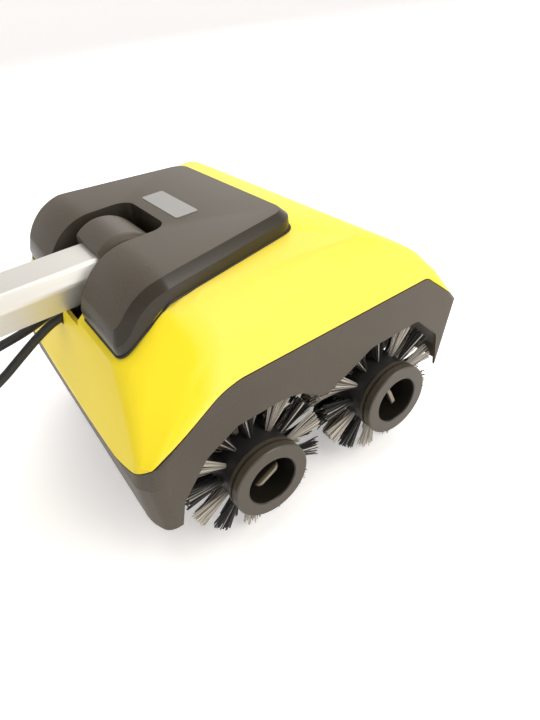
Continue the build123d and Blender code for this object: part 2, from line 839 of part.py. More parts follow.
with BuildPart() as motor_end_cap:
    add(shaft(end_cap_x, cap_face_x, motor_y, motor_z, motor_radius))
    cap_floor_x = cap_face_x - end_cap_wall
    add(shaft(0, cap_floor_x, motor_y, motor_z, motor_radius - end_cap_wall), mode=Mode.SUBTRACT)
    add(shaft(cap_floor_x - bearing_width, cap_face_x, motor_y, motor_z, 2 * motor_shaft_radius))
    add(
        shaft(0, cap_face_x - end_cap_wall, motor_y, motor_z, motor_shaft_radius + running_fit),
        mode=Mode.SUBTRACT,
    )
    with BuildSketch(across(cap_face_x, motor_y, motor_z)):
        with PolarLocations((fan_radius + 2 * motor_shaft_radius) / 2, fan_blades):
            Rectangle(fan_radius / 2, 2 * end_cap_wall)
    extrude(amount=-2 * end_cap_wall, mode=Mode.SUBTRACT)
save(motor_end_cap, "motor_end_cap")

with BuildPart() as run_capacitor:
    cap_z = foot_z + capacitor_radius
    cap_end_x = -case_foot_x - capacitor_length
    add(shaft(cap_end_x - 2, -case_foot_x - 2, 0, cap_z, capacitor_radius))
    for side in (-1, 1):
        add(shaft(cap_end_x - 10, cap_end_x, 0, cap_z + side * 6, 2.0))
save(run_capacitor, "run_capacitor")

with BuildPart() as spray_bars:
    for side in (-1, 1):
        inner_end = side * (case_half_x + seat_gap)
        outer_end = side * spray_bar_end_x
        add(shaft(inner_end, outer_end, 0, spray_bar_z, spray_bar_radius))
        reach = abs(outer_end - inner_end)
        for spot in range(spray_nozzles):
            with Locations((inner_end + side * reach * (spot + 0.5) / spray_nozzles, 0, spray_bar_z)):
                Cone(
                    spray_bar_radius,
                    1.0,
                    8.0,
                    rotation=(180, 0, 0),
                    align=(Align.CENTER, Align.CENTER, Align.MIN),
                )
        for share in (0.25, 0.75):
            with Locations((inner_end + side * reach * share, 0, spray_bar_z)):
                Box(
                    6,
                    6,
                    spray_roof_z - spray_bar_z,
                    align=(Align.CENTER, Align.CENTER, Align.MIN),
                )
save(spray_bars, "spray_bars")

# Axles, rollers, bristles and locks
def turned(y, points):
    """Solid of revolution about one brush axle, from places along it and radii."""
    plane = Plane(origin=(0, y, axle_z), x_dir=(1, 0, 0), z_dir=(0, -1, 0))
    with BuildPart() as piece:
        with BuildSketch(plane):
            with BuildLine():
                Polyline(*points, close=True)
            make_face()
        revolve(axis=Axis((0, y, axle_z), (1, 0, 0)))
    return piece.part


groove_radius = hub_ring_radius - hub_groove_depth
ring_x = hub_face_x - hub_ring_width
groove_x = ring_x - hub_groove_width
flange_x = groove_x - hub_flange_width
hub_points = [
    (web_x, hub_bore_radius),
    (hub_face_x - hub_edge, hub_bore_radius),
    (hub_face_x, hub_bore_radius + hub_edge),
    (hub_face_x, hub_ring_radius - hub_edge),
    (hub_face_x - hub_edge, hub_ring_radius),
    (ring_x, hub_ring_radius),
    (ring_x, groove_radius),
    (groove_x, groove_radius),
    (groove_x, hub_ring_radius),
    (flange_x, hub_ring_radius),
    (flange_x, core_radius),
    (web_x, core_radius),
]
stub_hole = lock_stub_radius + running_fit
core_sleeve = axle_flats / sqrt(3) + core_sleeve_wall
core_points = [
    (roller_x, core_sleeve),
    (roller_x, stub_hole),
    (web_x, stub_hole),
    (web_x, core_radius),
    (roller_x, core_radius),
    (roller_x, core_radius - core_wall),
    (web_x - core_web, core_radius - core_wall),
    (web_x - core_web, core_sleeve),
]


def hex_bar(x0, x1, y, flats):
    """Six-sided bar along X."""
    with BuildPart() as bar:
        with BuildSketch(across(x0, y, axle_z)):
            RegularPolygon(flats / 2, 6, major_radius=False)
        extrude(amount=x1 - x0)
    return bar.part


sleeve_x = roller_x + sleeve_end_gap
sleeve_length = flange_x - sleeve_end_gap - sleeve_x
last_ring_x = panel_cut_x - tuft_thickness - sleeve_end_gap
ring_pitch = (last_ring_x - sleeve_x - tuft_edge_margin) / (tuft_rings - 1)
tuft_reach = sqrt(brush_tip_radius**2 - (tuft_tip_width / 2) ** 2)
tuft_root = core_radius + sleeve_thickness / 2
with BuildPart() as tufted_sleeve:
    add(shaft(sleeve_x, sleeve_x + sleeve_length, 0, 0, core_radius + sleeve_thickness))
    for ring in range(tuft_rings):
        half_step = 180 / tufts_per_ring * (ring % 2)
        with BuildSketch(across(sleeve_x + tuft_edge_margin + ring * ring_pitch, 0, 0, half_step)):
            with PolarLocations(0, tufts_per_ring):
                Polygon(
                    (tuft_root, -tuft_root_width / 2),
                    (tuft_reach, -tuft_tip_width / 2),
                    (tuft_reach, tuft_tip_width / 2),
                    (tuft_root, tuft_root_width / 2),
                    align=None,
                )
    extrude(amount=tuft_thickness)
    add(shaft(0, hub_face_x, 0, 0, core_radius + press_gap), mode=Mode.SUBTRACT)

for name, y, lock_turn in (("front", -axle_y, front_lock_angle), ("rear", axle_y, rear_lock_angle)):
    axle_end = web_x - core_web - seat_gap
    with BuildPart() as axle:
        add(shaft(-roller_x, roller_x, y, axle_z, axle_radius))
        add(hex_bar(-axle_end, axle_end, y, axle_flats))
        for side in (-1, 1):
            add(
                shaft(
                    side * axle_end,
                    side * (web_x - lock_stub_length - 2.0),
                    y,
                    axle_z,
                    stub_hole,
                ),
                mode=Mode.SUBTRACT,
            )
    save(axle, f"{name}_axle")
    with BuildPart() as right_core:
        add(turned(y, core_points))
        add(hex_bar(0, axle_end + seat_gap, y, axle_flats + 2 * running_fit), mode=Mode.SUBTRACT)
    save(right_core, f"{name}_roller_right")
    with BuildPart() as left_core:
        add(right_core.part.mirror(Plane.YZ))
    save(left_core, f"{name}_roller_left")
    with BuildPart() as right_hub:
        add(turned(y, hub_points))
    save(right_hub, f"{name}_hub_right")
    with BuildPart() as left_hub:
        add(right_hub.part.mirror(Plane.YZ))
    save(left_hub, f"{name}_hub_left")
    with BuildPart() as right_bristles:
        add(tufted_sleeve.part.moved(Location((0, y, axle_z))))
        split(bisect_by=Plane.XY, keep=Keep.TOP)
    save(right_bristles, f"{name}_bristles_right")
    with BuildPart() as left_bristles:
        add(right_bristles.part.mirror(Plane.YZ))
    save(left_bristles, f"{name}_bristles_left")
    disc_x = web_x + seat_gap
    with BuildPart() as right_lock:
        add(shaft(web_x - lock_stub_length, disc_x, y, axle_z, lock_stub_radius))
        add(shaft(disc_x, disc_x + lock_disc_thickness, y, axle_z, lock_disc_radius))
        with BuildSketch(across(disc_x, y, axle_z, lock_turn)):
            Rectangle(lock_tab_width, lock_tab_thickness)
        tab_top = disc_x + lock_disc_thickness + lock_tab_length
        extrude(amount=tab_top - disc_x)
        lean = radians(lock_turn)
        corners = right_lock.edges().filter_by(
            Axis((0, 0, 0), (0, -sin(lean), cos(lean)))
        ).filter_by_position(Axis.X, tab_top - 0.1, tab_top + 0.1)
        fillet(corners, lock_tab_corner)
    save(right_lock, f"{name}_lock_right")
    with BuildPart() as left_lock:
        add(right_lock.part.mirror(Plane.YZ))
    save(left_lock, f"{name}_lock_left")

# Pole joint
with BuildPart() as pivot_bracket:
    with Locations((0, (bracket_front_y + bracket_rear_y) / 2, pad_top_z)):
        Box(
            2 * bracket_half_x,
            bracket_rear_y - bracket_front_y,
            bracket_base,
            align=(Align.CENTER, Align.CENTER, Align.MIN),
        )
    for side in (-1, 1):
        with BuildSketch(across(side * ear_x, pivot_y, pivot_z)):
            Circle(ear_radius)
            with Locations((0, pad_top_z + bracket_base - pivot_z)):
                Rectangle(2.6 * ear_radius, 2.0, align=(Align.CENTER, Align.MAX))
            make_hull()
        extrude(amount=side * ear_thickness)
    with Locations((0, bracket_wall_y, pad_top_z)):
        Box(
            2 * (ear_x + ear_thickness),
            bracket_wall_thickness,
            bracket_wall_top_z - pad_top_z,
            align=(Align.CENTER, Align.MIN, Align.MIN),
        )
    add(shaft(-side_x, side_x, pivot_y, pivot_z, pin_radius + press_gap), mode=Mode.SUBTRACT)
    with BuildSketch(Plane(origin=(0, bracket_wall_y, gland_z), x_dir=(-1, 0, 0), z_dir=(0, 1, 0))):
        with Locations((-cable_exit_x, 0), (-hose_exit_x, 0)):
            Circle(gland_neck_radius + press_gap)
    extrude(amount=bracket_wall_thickness, mode=Mode.SUBTRACT)
save(pivot_bracket, "pivot_bracket")

pin_end_x = ear_x + ear_thickness
with BuildPart() as pivot_pin:
    add(shaft(-pin_end_x, pin_end_x, pivot_y, pivot_z, pin_radius))
    for side in (-1, 1):
        head_x = side * (pin_end_x + pin_head_thickness)
        add(shaft(side * pin_end_x, head_x, pivot_y, pivot_z, pin_head_radius))
save(pivot_pin, "pivot_pin")


def tube_outline(y, grow):
    """Six-sided section of the pole tube at one place, grown or shrunk all round."""
    right = [
        (tube_top_x, tube_top_rise),
        (tube_shoulder_x, tube_shoulder_rise),
        (tube_bottom_x, -tube_bottom_drop),
    ]
    left = [(-x, z) for x, z in reversed(right)]
    with BuildSketch(along(y)) as outline:
        with BuildLine():
            Polyline(*right, *left, close=True)
        make_face()
        fillet(outline.vertices(), tube_edge_radius)
        if grow != 0:
            offset(amount=grow)
    return outline.sketch


with BuildPart() as knuckle:
    add(shaft(-knuckle_half_x, knuckle_half_x, pivot_y, pivot_z, knuckle_radius))
    fillet(knuckle.edges().filter_by(GeomType.CIRCLE), knuckle_edge_radius)
    split(bisect_by=Plane(origin=(0, tube_y, 0), z_dir=(0, -1, 0)), keep=Keep.TOP)
    extrude(tube_outline(pivot_y, -tube_wall - press_gap), amount=tube_start + spigot_length)
    add(shaft(-side_x, side_x, pivot_y, pivot_z, pin_radius + running_fit), mode=Mode.SUBTRACT)
    extrude(tube_outline(tube_y + 5.0, -tube_wall - 3.5), amount=spigot_length, mode=Mode.SUBTRACT)
save(knuckle, "knuckle")

for name, start in (("lower_tube", tube_y), ("upper_tube", tube_joint_y)):
    with BuildPart() as tube:
        extrude(tube_outline(start, 0.0), amount=tube_length)
        extrude(tube_outline(start, -tube_wall), amount=tube_length, mode=Mode.SUBTRACT)
    save(tube, name)

with BuildPart() as tube_coupling:
    coupling_y = tube_joint_y - coupling_length / 2
    extrude(tube_outline(coupling_y, coupling_wall), amount=coupling_length)
    extrude(tube_outline(coupling_y, press_gap), amount=coupling_length, mode=Mode.SUBTRACT)
save(tube_coupling, "tube_coupling")

# Cords: glands, slack loops, clips and the stretches held under the pole
for name, x in (("cable_gland", cable_exit_x), ("hose_fitting", hose_exit_x)):
    back = Plane(origin=(x, bracket_wall_y - gland_length / 2, gland_z), x_dir=(-1, 0, 0), z_dir=(0, 1, 0))
    face = Plane(origin=(x, bracket_rear_y, gland_z), x_dir=(-1, 0, 0), z_dir=(0, 1, 0))
    with BuildPart() as gland:
        with BuildSketch(back):
            Circle(gland_neck_radius)
        extrude(amount=gland_length / 2 + bracket_wall_thickness)
        with BuildSketch(face):
            Circle(gland_radius)
        extrude(amount=gland_length)
        with BuildSketch(face):
            Circle(cord_radius + press_gap)
        extrude(amount=gland_length, mode=Mode.SUBTRACT)
    save(gland, name)


def cord_piece(points):
    """Round cord swept along a path whose corners are rounded as widely as the runs allow."""
    radii = []
    for before, here, after in zip(points, points[1:], points[2:]):
        into = Vector(*here) - Vector(*before)
        out = Vector(*after) - Vector(*here)
        half_turn = radians(into.get_angle(out)) / 2
        radii.append(0.45 * min(into.length, out.length) / tan(half_turn))
    with BuildPart() as piece:
        with BuildLine() as path:
            FilletPolyline(*points, radius=min(radii))
        start = Vector(*points[1]) - Vector(*points[0])
        with BuildSketch(Plane(origin=points[0], z_dir=start)):
            Circle(cord_radius)
        sweep()
    length = sum(edge.length for edge in path.edges())
    print("cord bend radius", round(min(radii), 1), "length", round(length, 1),
          "fill", round(piece.part.volume / (length * pi * cord_radius**2), 4))
    return piece


cord_y = bracket_rear_y
loop_end_y = clip_first_y - clip_width / 2 - seat_gap
cable_loop_points = [
    (cable_exit_x, cord_y, gland_z),
    (cable_exit_x, cord_y + 25, gland_z),
    (cable_exit_x - 0.5, cord_y + 44, gland_z - 8),
    (cable_exit_x - 2, cord_y + 64, gland_z - 19),
    (cable_exit_x - 5, cord_y + 84, gland_z - 29.5),
    (cable_exit_x - 10, cord_y + 116, gland_z - 40),
    (cable_exit_x - 15, cord_y + 156, gland_z - 42),
    (cable_x, cord_y + 195, gland_z - 27),
    (cable_x, loop_end_y - 46, gland_z - 8),
    (cable_x, loop_end_y - 20, cord_z),
    (cable_x, loop_end_y, cord_z),
]
save(cord_piece(cable_loop_points), "motor_cable_loop")
hose_loop_points = [
    (hose_exit_x, cord_y, gland_z),
    (hose_exit_x, cord_y + 22, gland_z),
    (hose_exit_x - 1, cord_y + 47, gland_z - 8),
    (hose_exit_x - 3.5, cord_y + 74, gland_z - 11),
    (hose_exit_x - 8, cord_y + 110, gland_z - 13.5),
    (hose_exit_x - 12, cord_y + 150, gland_z - 14.5),
    (hose_exit_x - 15, cord_y + 190, gland_z - 10),
    (hose_x, loop_end_y - 30, cord_z),
    (hose_x, loop_end_y, cord_z),
]
save(cord_piece(hose_loop_points), "water_hose_loop")


def held_points(x):
    """Points of a cord that runs straight through each clip and sags a little between them."""
    lead = clip_width / 2 + clip_lead
    points = [(x, clip_first_y - clip_width / 2, cord_z)]
    for start, end in ((clip_first_y, clip_second_y), (clip_second_y, clip_third_y)):
        span = end - start - 2 * lead
        for share, depth in ((0.0, 0.0), (0.13, 0.25), (0.36, 1.0), (0.64, 1.0), (0.87, 0.25), (1.0, 0.0)):
            points.append((x, start + lead + share * span, cord_z - depth * cord_sag))
    return points


cable_end_y = socket_y + handle_wall + 4.0
cable_points = [*held_points(cable_x), (cable_x, cable_end_y, cord_z)]
save(cord_piece(cable_points), "motor_cable_pole")
hose_turn_y = clip_third_y + clip_width
hose_run = inlet_y - 20.0 - hose_turn_y
hose_points = [
    *held_points(hose_x),
    (hose_x, hose_turn_y, cord_z),
    (hose_x + 0.27 * (inlet_x - hose_x), hose_turn_y + 0.37 * hose_run, cord_z + 0.27 * (inlet_z - cord_z)),
    (hose_x + 0.73 * (inlet_x - hose_x), hose_turn_y + 0.71 * hose_run, cord_z + 0.73 * (inlet_z - cord_z)),
    (inlet_x, hose_turn_y + hose_run, inlet_z),
    (inlet_x, inlet_y, inlet_z),
]
save(cord_piece(hose_points), "water_hose_pole")

with BuildPart() as cord_clips:
    for y in (clip_first_y, clip_second_y, clip_third_y):
        start = y - clip_width / 2
        extrude(tube_outline(start, clip_wall), amount=clip_width)
        with Locations((0, y, cord_z - cord_radius - clip_wall)):
            Box(
                hose_x - cable_x + 2 * (cord_radius + clip_wall),
                clip_width,
                tube_bottom_z - cord_z + cord_radius + 2 * clip_wall,
                align=(Align.CENTER, Align.CENTER, Align.MIN),
            )
        extrude(tube_outline(start, press_gap), amount=clip_width, mode=Mode.SUBTRACT)
        with BuildSketch(along(start)):
            with Locations((-cable_x, cord_z - pivot_z), (-hose_x, cord_z - pivot_z)):
                Circle(cord_radius + seat_gap)
        extrude(amount=clip_width, mode=Mode.SUBTRACT)
save(cord_clips, "cord_clips")

# Handle
def handle_ring(inset):
    """Side view of the handle's closed loop, drawn in from both its edges."""
    with BuildSketch(Plane.YZ) as ring:
        with Locations((loop_y, pivot_z)):
            RectangleRounded(
                handle_loop_length - 2 * inset,
                handle_loop_height - 2 * inset,
                handle_loop_radius - inset,
            )
            RectangleRounded(
                handle_loop_length - 2 * handle_bar + 2 * inset,
                handle_loop_height - 2 * handle_bar + 2 * inset,
                handle_loop_radius - handle_bar + handle_edge_radius + inset,
                mode=Mode.SUBTRACT,
            )
    return ring.sketch


def socket_block(side, inset):
    """One half of the socket that takes the upper tube, drawn in all round."""
    with BuildPart() as block:
        with Locations((0, socket_y + inset, pivot_z)):
            Box(
                socket_half_x - inset,
                socket_length - 2 * inset,
                2 * (socket_half_z - inset),
                align=(Align.MIN if side > 0 else Align.MAX, Align.MIN, Align.CENTER),
            )
        if inset == 0:
            outer = block.edges().filter_by(Axis.Y).group_by(Axis.X)[-1 if side > 0 else 0]
            fillet(outer, 2 * handle_edge_radius)
    return block.part


bar_face_y = handle_end_y - handle_bar
trigger_z = pivot_z + 8.0
button_y = handle_end_y - handle_bar / 2
button_z = pivot_z - handle_loop_height / 4
dial_y = socket_y + dial_radius + handle_edge_radius
dial_z = pivot_z + socket_half_z

for name, side in (("left", -1), ("right", 1)):
    with BuildPart() as half:
        extrude(handle_ring(0.0), amount=side * handle_half_x)
        rim = half.edges().group_by(Axis.X)[-1 if side > 0 else 0]
        fillet(rim, handle_edge_radius)
        add(socket_block(side, 0.0))
        extrude(handle_ring(handle_wall), amount=side * (handle_half_x - handle_wall), mode=Mode.SUBTRACT)
        add(socket_block(side, handle_wall), mode=Mode.SUBTRACT)
        socket = tube_outline(socket_y - 1.0, press_gap)
        extrude(socket, amount=tube_end_y - socket_y + 1.0, mode=Mode.SUBTRACT)
        with BuildSketch(along(socket_y - 1.0)):
            with Locations((-cable_x, cord_z - pivot_z)):
                Circle(cord_radius + seat_gap)
        extrude(amount=handle_wall + 1.0, mode=Mode.SUBTRACT)
        with Locations((0, bar_face_y, trigger_z)):
            Box(
                2 * (trigger_half_x + trigger_gap),
                3 * handle_wall,
                trigger_length + 2 * trigger_gap,
                mode=Mode.SUBTRACT,
            )
        with Locations((0, dial_y, dial_z)):
            Cylinder(dial_stem_radius + running_fit, 3 * handle_wall, mode=Mode.SUBTRACT)
        with Locations((0, mains_y, pivot_z - handle_loop_height / 2)):
            Cylinder(gland_neck_radius + press_gap, 3 * handle_wall, mode=Mode.SUBTRACT)
        if side < 0:
            add(shaft(-side_x, 0, button_y, button_z, lock_button_radius + seat_gap), mode=Mode.SUBTRACT)
    save(half, f"handle_{name}")

with BuildPart() as trigger:
    with Locations((0, bar_face_y - trigger_proud, trigger_z)):
        Box(
            2 * trigger_half_x,
            trigger_proud + trigger_depth - trigger_travel,
            trigger_length,
            align=(Align.CENTER, Align.MIN, Align.CENTER),
        )
    front_edges = trigger.edges().filter_by(Axis.X).group_by(Axis.Y)[0]
    fillet(front_edges, trigger_gap * 8)
save(trigger, "trigger")

with BuildPart() as lock_button:
    add(
        shaft(
            -handle_half_x - lock_button_travel - 1.0,
            -handle_half_x + handle_wall + 4.0,
            button_y,
            button_z,
            lock_button_radius,
        )
    )
save(lock_button, "lock_button")

with BuildPart() as speed_dial:
    with Locations((0, dial_y, dial_z + seat_gap)):
        Cylinder(dial_radius, dial_height, align=(Align.CENTER, Align.CENTER, Align.MIN))
    fillet(speed_dial.edges().filter_by(GeomType.CIRCLE).group_by(Axis.Z)[-1], trigger_gap * 4)
    with Locations((0, dial_y, dial_z + seat_gap + dial_height)):
        Box(2.0, dial_radius, 2.0, align=(Align.CENTER, Align.MIN, Align.CENTER), mode=Mode.SUBTRACT)
    with Locations((0, dial_y, dial_z + seat_gap)):
        Cylinder(dial_stem_radius, handle_wall + 3.0, align=(Align.CENTER, Align.CENTER, Align.MAX))
save(speed_dial, "speed_dial")

with BuildPart() as water_inlet:
    facing = Plane(origin=(inlet_x, inlet_y, inlet_z), x_dir=(-1, 0, 0), z_dir=(0, 1, 0))
    with BuildSketch(facing):
        Circle(inlet_radius)
    extrude(amount=inlet_length)
    with BuildSketch(facing.offset(inlet_length)):
        Circle(nipple_radius)
    extrude(amount=nipple_length)
    with Locations((socket_half_x, tap_y, inlet_z)):
        Box(
            inlet_x - socket_half_x,
            inlet_length / 2,
            inlet_radius,
            align=(Align.MIN, Align.CENTER, Align.CENTER),
        )
    with BuildSketch(facing.offset(inlet_length + nipple_length)):
        Circle(nipple_radius - handle_wall)
    extrude(amount=-nipple_length, mode=Mode.SUBTRACT)
    add(shaft(inlet_x, inlet_x + side_x, tap_y, inlet_z, tap_stem_radius + running_fit), mode=Mode.SUBTRACT)
save(water_inlet, "water_inlet")

with BuildPart() as water_tap:
    tap_x = inlet_x + inlet_radius + seat_gap
    add(shaft(inlet_x + seat_gap, tap_x, tap_y, inlet_z, tap_stem_radius))
    add(shaft(tap_x, tap_x + tap_length, tap_y, inlet_z, tap_radius))
    with Locations((tap_x + tap_length / 2, tap_y, inlet_z)):
        Box(
            tap_length,
            2.2 * tap_radius,
            0.6 * tap_radius,
            align=(Align.CENTER, Align.MIN, Align.CENTER),
        )
save(water_tap, "water_tap")

with BuildPart() as mains_gland:
    with Locations((0, mains_y, pivot_z - handle_loop_height / 2)):
        Cylinder(gland_neck_radius, 2 * handle_wall)
    with Locations((0, mains_y, pivot_z - handle_loop_height / 2)):
        Cone(
            gland_radius - 1.5,
            gland_radius,
            mains_gland_length,
            align=(Align.CENTER, Align.CENTER, Align.MAX),
        )
    with Locations((0, mains_y, pivot_z - handle_loop_height / 2 - mains_gland_length)):
        Cylinder(cord_radius, 3 * mains_gland_length, mode=Mode.SUBTRACT)
save(mains_gland, "mains_gland")
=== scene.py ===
"""Looks for a walk-behind patio cleaner: finishes, tufts, cords, small trim and a pale studio."""

import math
import random

import bpy
from bpy.props import FloatProperty, FloatVectorProperty, IntProperty, PointerProperty
from mathutils import Matrix, Vector


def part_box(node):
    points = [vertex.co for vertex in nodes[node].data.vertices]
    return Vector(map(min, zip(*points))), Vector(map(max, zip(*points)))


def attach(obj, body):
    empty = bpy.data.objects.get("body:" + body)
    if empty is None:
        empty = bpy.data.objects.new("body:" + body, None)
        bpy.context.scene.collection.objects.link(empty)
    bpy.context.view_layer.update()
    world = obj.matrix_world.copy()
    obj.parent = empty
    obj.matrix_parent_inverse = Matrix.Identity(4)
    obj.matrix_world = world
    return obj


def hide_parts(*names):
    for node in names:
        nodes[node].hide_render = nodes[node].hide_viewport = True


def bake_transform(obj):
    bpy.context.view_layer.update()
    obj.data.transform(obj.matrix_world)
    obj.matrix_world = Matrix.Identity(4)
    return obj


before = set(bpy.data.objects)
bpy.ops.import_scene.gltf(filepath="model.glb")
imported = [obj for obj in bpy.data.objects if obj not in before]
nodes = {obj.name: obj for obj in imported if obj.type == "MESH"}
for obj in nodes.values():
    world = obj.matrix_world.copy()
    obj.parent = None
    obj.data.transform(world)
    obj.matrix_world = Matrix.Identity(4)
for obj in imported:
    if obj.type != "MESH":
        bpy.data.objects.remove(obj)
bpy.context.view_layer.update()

bl_info = {
    "name": "Patio cleaner looks",
    "version": (1, 0, 0),
    "blender": (4, 5, 0),
    "location": "View3D > Sidebar > Patio cleaner",
    "description": "Dresses the packed patio cleaner and sets it in a pale studio",
    "category": "Object",
}

# Where the solids stand, in metres: the middle of the head, and the brush axles on both sides of it
head_middle = -0.46325
axle_reach = 0.063
axle_height = 0.061


class PatioSizes(bpy.types.PropertyGroup):
    """Sizes that a user would change."""

    cord_diameter: FloatProperty(
        name="Cord diameter", description="Outside of the cable and of the hose",
        default=0.007, min=0.004, max=0.012, unit="LENGTH")
    tuft_rings: IntProperty(
        name="Tuft rings", description="Rings of tufts along one brush sleeve",
        default=11, min=8, max=14)
    tufts_in_ring: IntProperty(
        name="Tufts in a ring", description="Tufts round the sleeve",
        default=13, min=10, max=18)
    strand_radius: FloatProperty(
        name="Strand radius", description="Half the thickness of a strand",
        default=0.00052, min=0.0002, max=0.0012, unit="LENGTH")
    tuft_spread: FloatProperty(
        name="Tuft spread", description="How far a tuft's tips stand from its middle",
        default=0.0095, min=0.003, max=0.010, unit="LENGTH")
    rim_softness: FloatProperty(
        name="Rim softness", description="Rounding of the top cover's edges",
        default=0.0014, min=0.0004, max=0.003, unit="LENGTH")
    # The dark line under the top cover is a painted shadow of the gap at its foot, laid as a thin
    # black rod
    shadow_radius: FloatProperty(
        name="Seal radius", description="Half the thickness of the dark seal under the top cover",
        default=0.0008, min=0.0004, max=0.0015, unit="LENGTH")
    plate_lift: FloatProperty(
        name="Plate lift", description="How far the bare plate stands off the cover",
        default=0.0004, min=0.0001, max=0.001, unit="LENGTH")


class PatioColours(bpy.types.PropertyGroup):
    """Colours that a user would change."""

    # The two yellows are lit and shaded tones of one moulding: the paler one stands for the light
    # on faces turned up and sideways, and the deeper one is painted shade where the skin turns to
    # the rear
    yellow: FloatVectorProperty(
        name="Skin yellow", description="Moulded skin of the head",
        default=(0.90, 0.71, 0.105), size=3, min=0.0, max=1.0, subtype="COLOR")
    rear_shade_yellow: FloatVectorProperty(
        name="Deep yellow", description="Moulded skin where it turns to the rear",
        default=(0.92, 0.73, 0.030), size=3, min=0.0, max=1.0, subtype="COLOR")
    cover_grey: FloatVectorProperty(
        name="Cover grey", description="Grained cover on top of the head",
        default=(0.077, 0.062, 0.043), size=3, min=0.0, max=1.0, subtype="COLOR")
    base_grey: FloatVectorProperty(
        name="Base grey", description="Base, knuckle and handle",
        default=(0.069, 0.056, 0.039), size=3, min=0.0, max=1.0, subtype="COLOR")
    hub_grey: FloatVectorProperty(
        name="Hub grey", description="Brush hubs and locks",
        default=(0.060, 0.050, 0.035), size=3, min=0.0, max=1.0, subtype="COLOR")
    tube_silver: FloatVectorProperty(
        name="Tube silver", description="Painted pole tubes",
        default=(0.72, 0.70, 0.65), size=3, min=0.0, max=1.0, subtype="COLOR")
    pale_strand: FloatVectorProperty(
        name="Pale strand", description="Pale brush strands",
        default=(0.47, 0.43, 0.365), size=3, min=0.0, max=1.0, subtype="COLOR")
    floor: FloatVectorProperty(
        name="Floor", description="Studio floor",
        default=(0.90, 0.885, 0.875), size=3, min=0.0, max=1.0, subtype="COLOR")


class Flow:
    """A shader socket that can stand in a sum."""

    def __init__(self, finish, socket):
        self.finish = finish
        self.socket = socket

    def worked(self, operation, left, right):
        return self.finish.node("ShaderNodeMath", {"operation": operation}, {0: left, 1: right})[0]

    def __add__(self, other):
        return self.worked("ADD", self, other)

    def __radd__(self, other):
        return self.worked("ADD", other, self)

    def __sub__(self, other):
        return self.worked("SUBTRACT", self, other)

    def __rsub__(self, other):
        return self.worked("SUBTRACT", other, self)

    def __mul__(self, other):
        return self.worked("MULTIPLY", self, other)

    def __rmul__(self, other):
        return self.worked("MULTIPLY", other, self)

    def __abs__(self):
        return self.finish.node("ShaderNodeMath", {"operation": "ABSOLUTE"}, {0: self})[0]


class Finish:
    """One material with its shader and the nodes that feed it."""

    # Sockets that share their name with others, so they go by number
    object_spot = 3
    mark_amount = 2
    mix_colours = (6, 7)
    mix_result = 2

    def __init__(self, name, gloss=0.5, coat=0.0, coat_rough=0.1):
        self.material = bpy.data.materials.new(name)
        self.material.use_nodes = True
        self.tree = self.material.node_tree
        self.shader = self.tree.nodes["Principled BSDF"]
        self.shader.inputs["Specular IOR Level"].default_value = gloss
        self.shader.inputs["Coat Weight"].default_value = coat
        self.shader.inputs["Coat Roughness"].default_value = coat_rough

    def node(self, kind, settings=None, sockets=None):
        made = self.tree.nodes.new(kind)
        for name, value in (settings or {}).items():
            setattr(made, name, value)
        for key, value in (sockets or {}).items():
            self.feed(made.inputs[key], value)
        return [Flow(self, socket) for socket in made.outputs]

    def feed(self, socket, value):
        if isinstance(value, Flow):
            self.tree.links.new(value.socket, socket)
        elif socket.type == "RGBA":
            socket.default_value = (*value, 1.0)
        else:
            socket.default_value = value

    def place(self, stretch=(1, 1, 1)):
        spot = self.node("ShaderNodeTexCoord")[self.object_spot]
        return self.node("ShaderNodeMapping", None, {"Vector": spot, "Scale": stretch})[0]

    def parts(self):
        """The across, along and up of a place on the piece."""
        return self.node("ShaderNodeSeparateXYZ", None, {0: self.place()})

    def grain(self, scale, detail=2.0, stretch=(1, 1, 1)):
        return self.node("ShaderNodeTexNoise", None, {
            "Vector": self.place(stretch), "Scale": scale, "Detail": detail, "Roughness": 0.55})[0]

    def pebble(self, scale):
        return self.node("ShaderNodeTexVoronoi", None, {
            "Vector": self.place(), "Scale": scale, "Randomness": 1.0})[0]

    def mark(self, name):
        return self.node("ShaderNodeAttribute", {"attribute_name": name})[self.mark_amount]

    def eased(self, value, low, high):
        return self.node("ShaderNodeMapRange", {"interpolation_type": "SMOOTHSTEP"}, {
            "Value": value, "From Min": low, "From Max": high})[0]

    def mixed(self, amount, first, second):
        low, high = self.mix_colours
        return self.node("ShaderNodeMix", {"data_type": "RGBA"}, {
            0: amount, low: first, high: second})[self.mix_result]

    def toned(self, amount, colour, low, high):
        """One colour, from a darker tone of it to a lighter one."""
        return self.mixed(amount, shade(colour, low), shade(colour, high))

    def wear(self, colour, rough, height=None, depth=0.0001, strength=0.3, metallic=None):
        self.feed(self.shader.inputs["Base Color"], colour)
        self.feed(self.shader.inputs["Roughness"], rough)
        if metallic is not None:
            self.feed(self.shader.inputs["Metallic"], metallic)
        if height is not None:
            bumped = self.node("ShaderNodeBump", None, {
                "Height": height, "Distance": depth, "Strength": strength})[0]
            self.feed(self.shader.inputs["Normal"], bumped)
        return self.material


def shade(colour, factor):
    """A darker or lighter tone of one colour."""
    return tuple(min(1.0, part * factor) for part in colour)


def only(*objects):
    """Leaves just these objects selected, the first one active."""
    if bpy.context.object and bpy.context.object.mode != "OBJECT":
        bpy.ops.object.mode_set(mode="OBJECT")
    bpy.ops.object.select_all(action="DESELECT")
    for thing in objects:
        thing.select_set(True)
    if objects:
        bpy.context.view_layer.objects.active = objects[0]


def fresh(name):
    """Names the piece that was just made, and gives it back."""
    thing = bpy.context.object
    thing.name = name
    thing.data.name = name
    return thing


def settle(thing):
    """Puts a piece's place, turn and size into its mesh."""
    only(thing)
    bpy.ops.object.transform_apply(location=True, rotation=True, scale=True)
    return thing


def smoothed(thing, degrees):
    """Shades a piece smooth, apart from edges sharper than this angle."""
    only(thing)
    bpy.ops.object.shade_smooth_by_angle(angle=math.radians(degrees))
    return thing


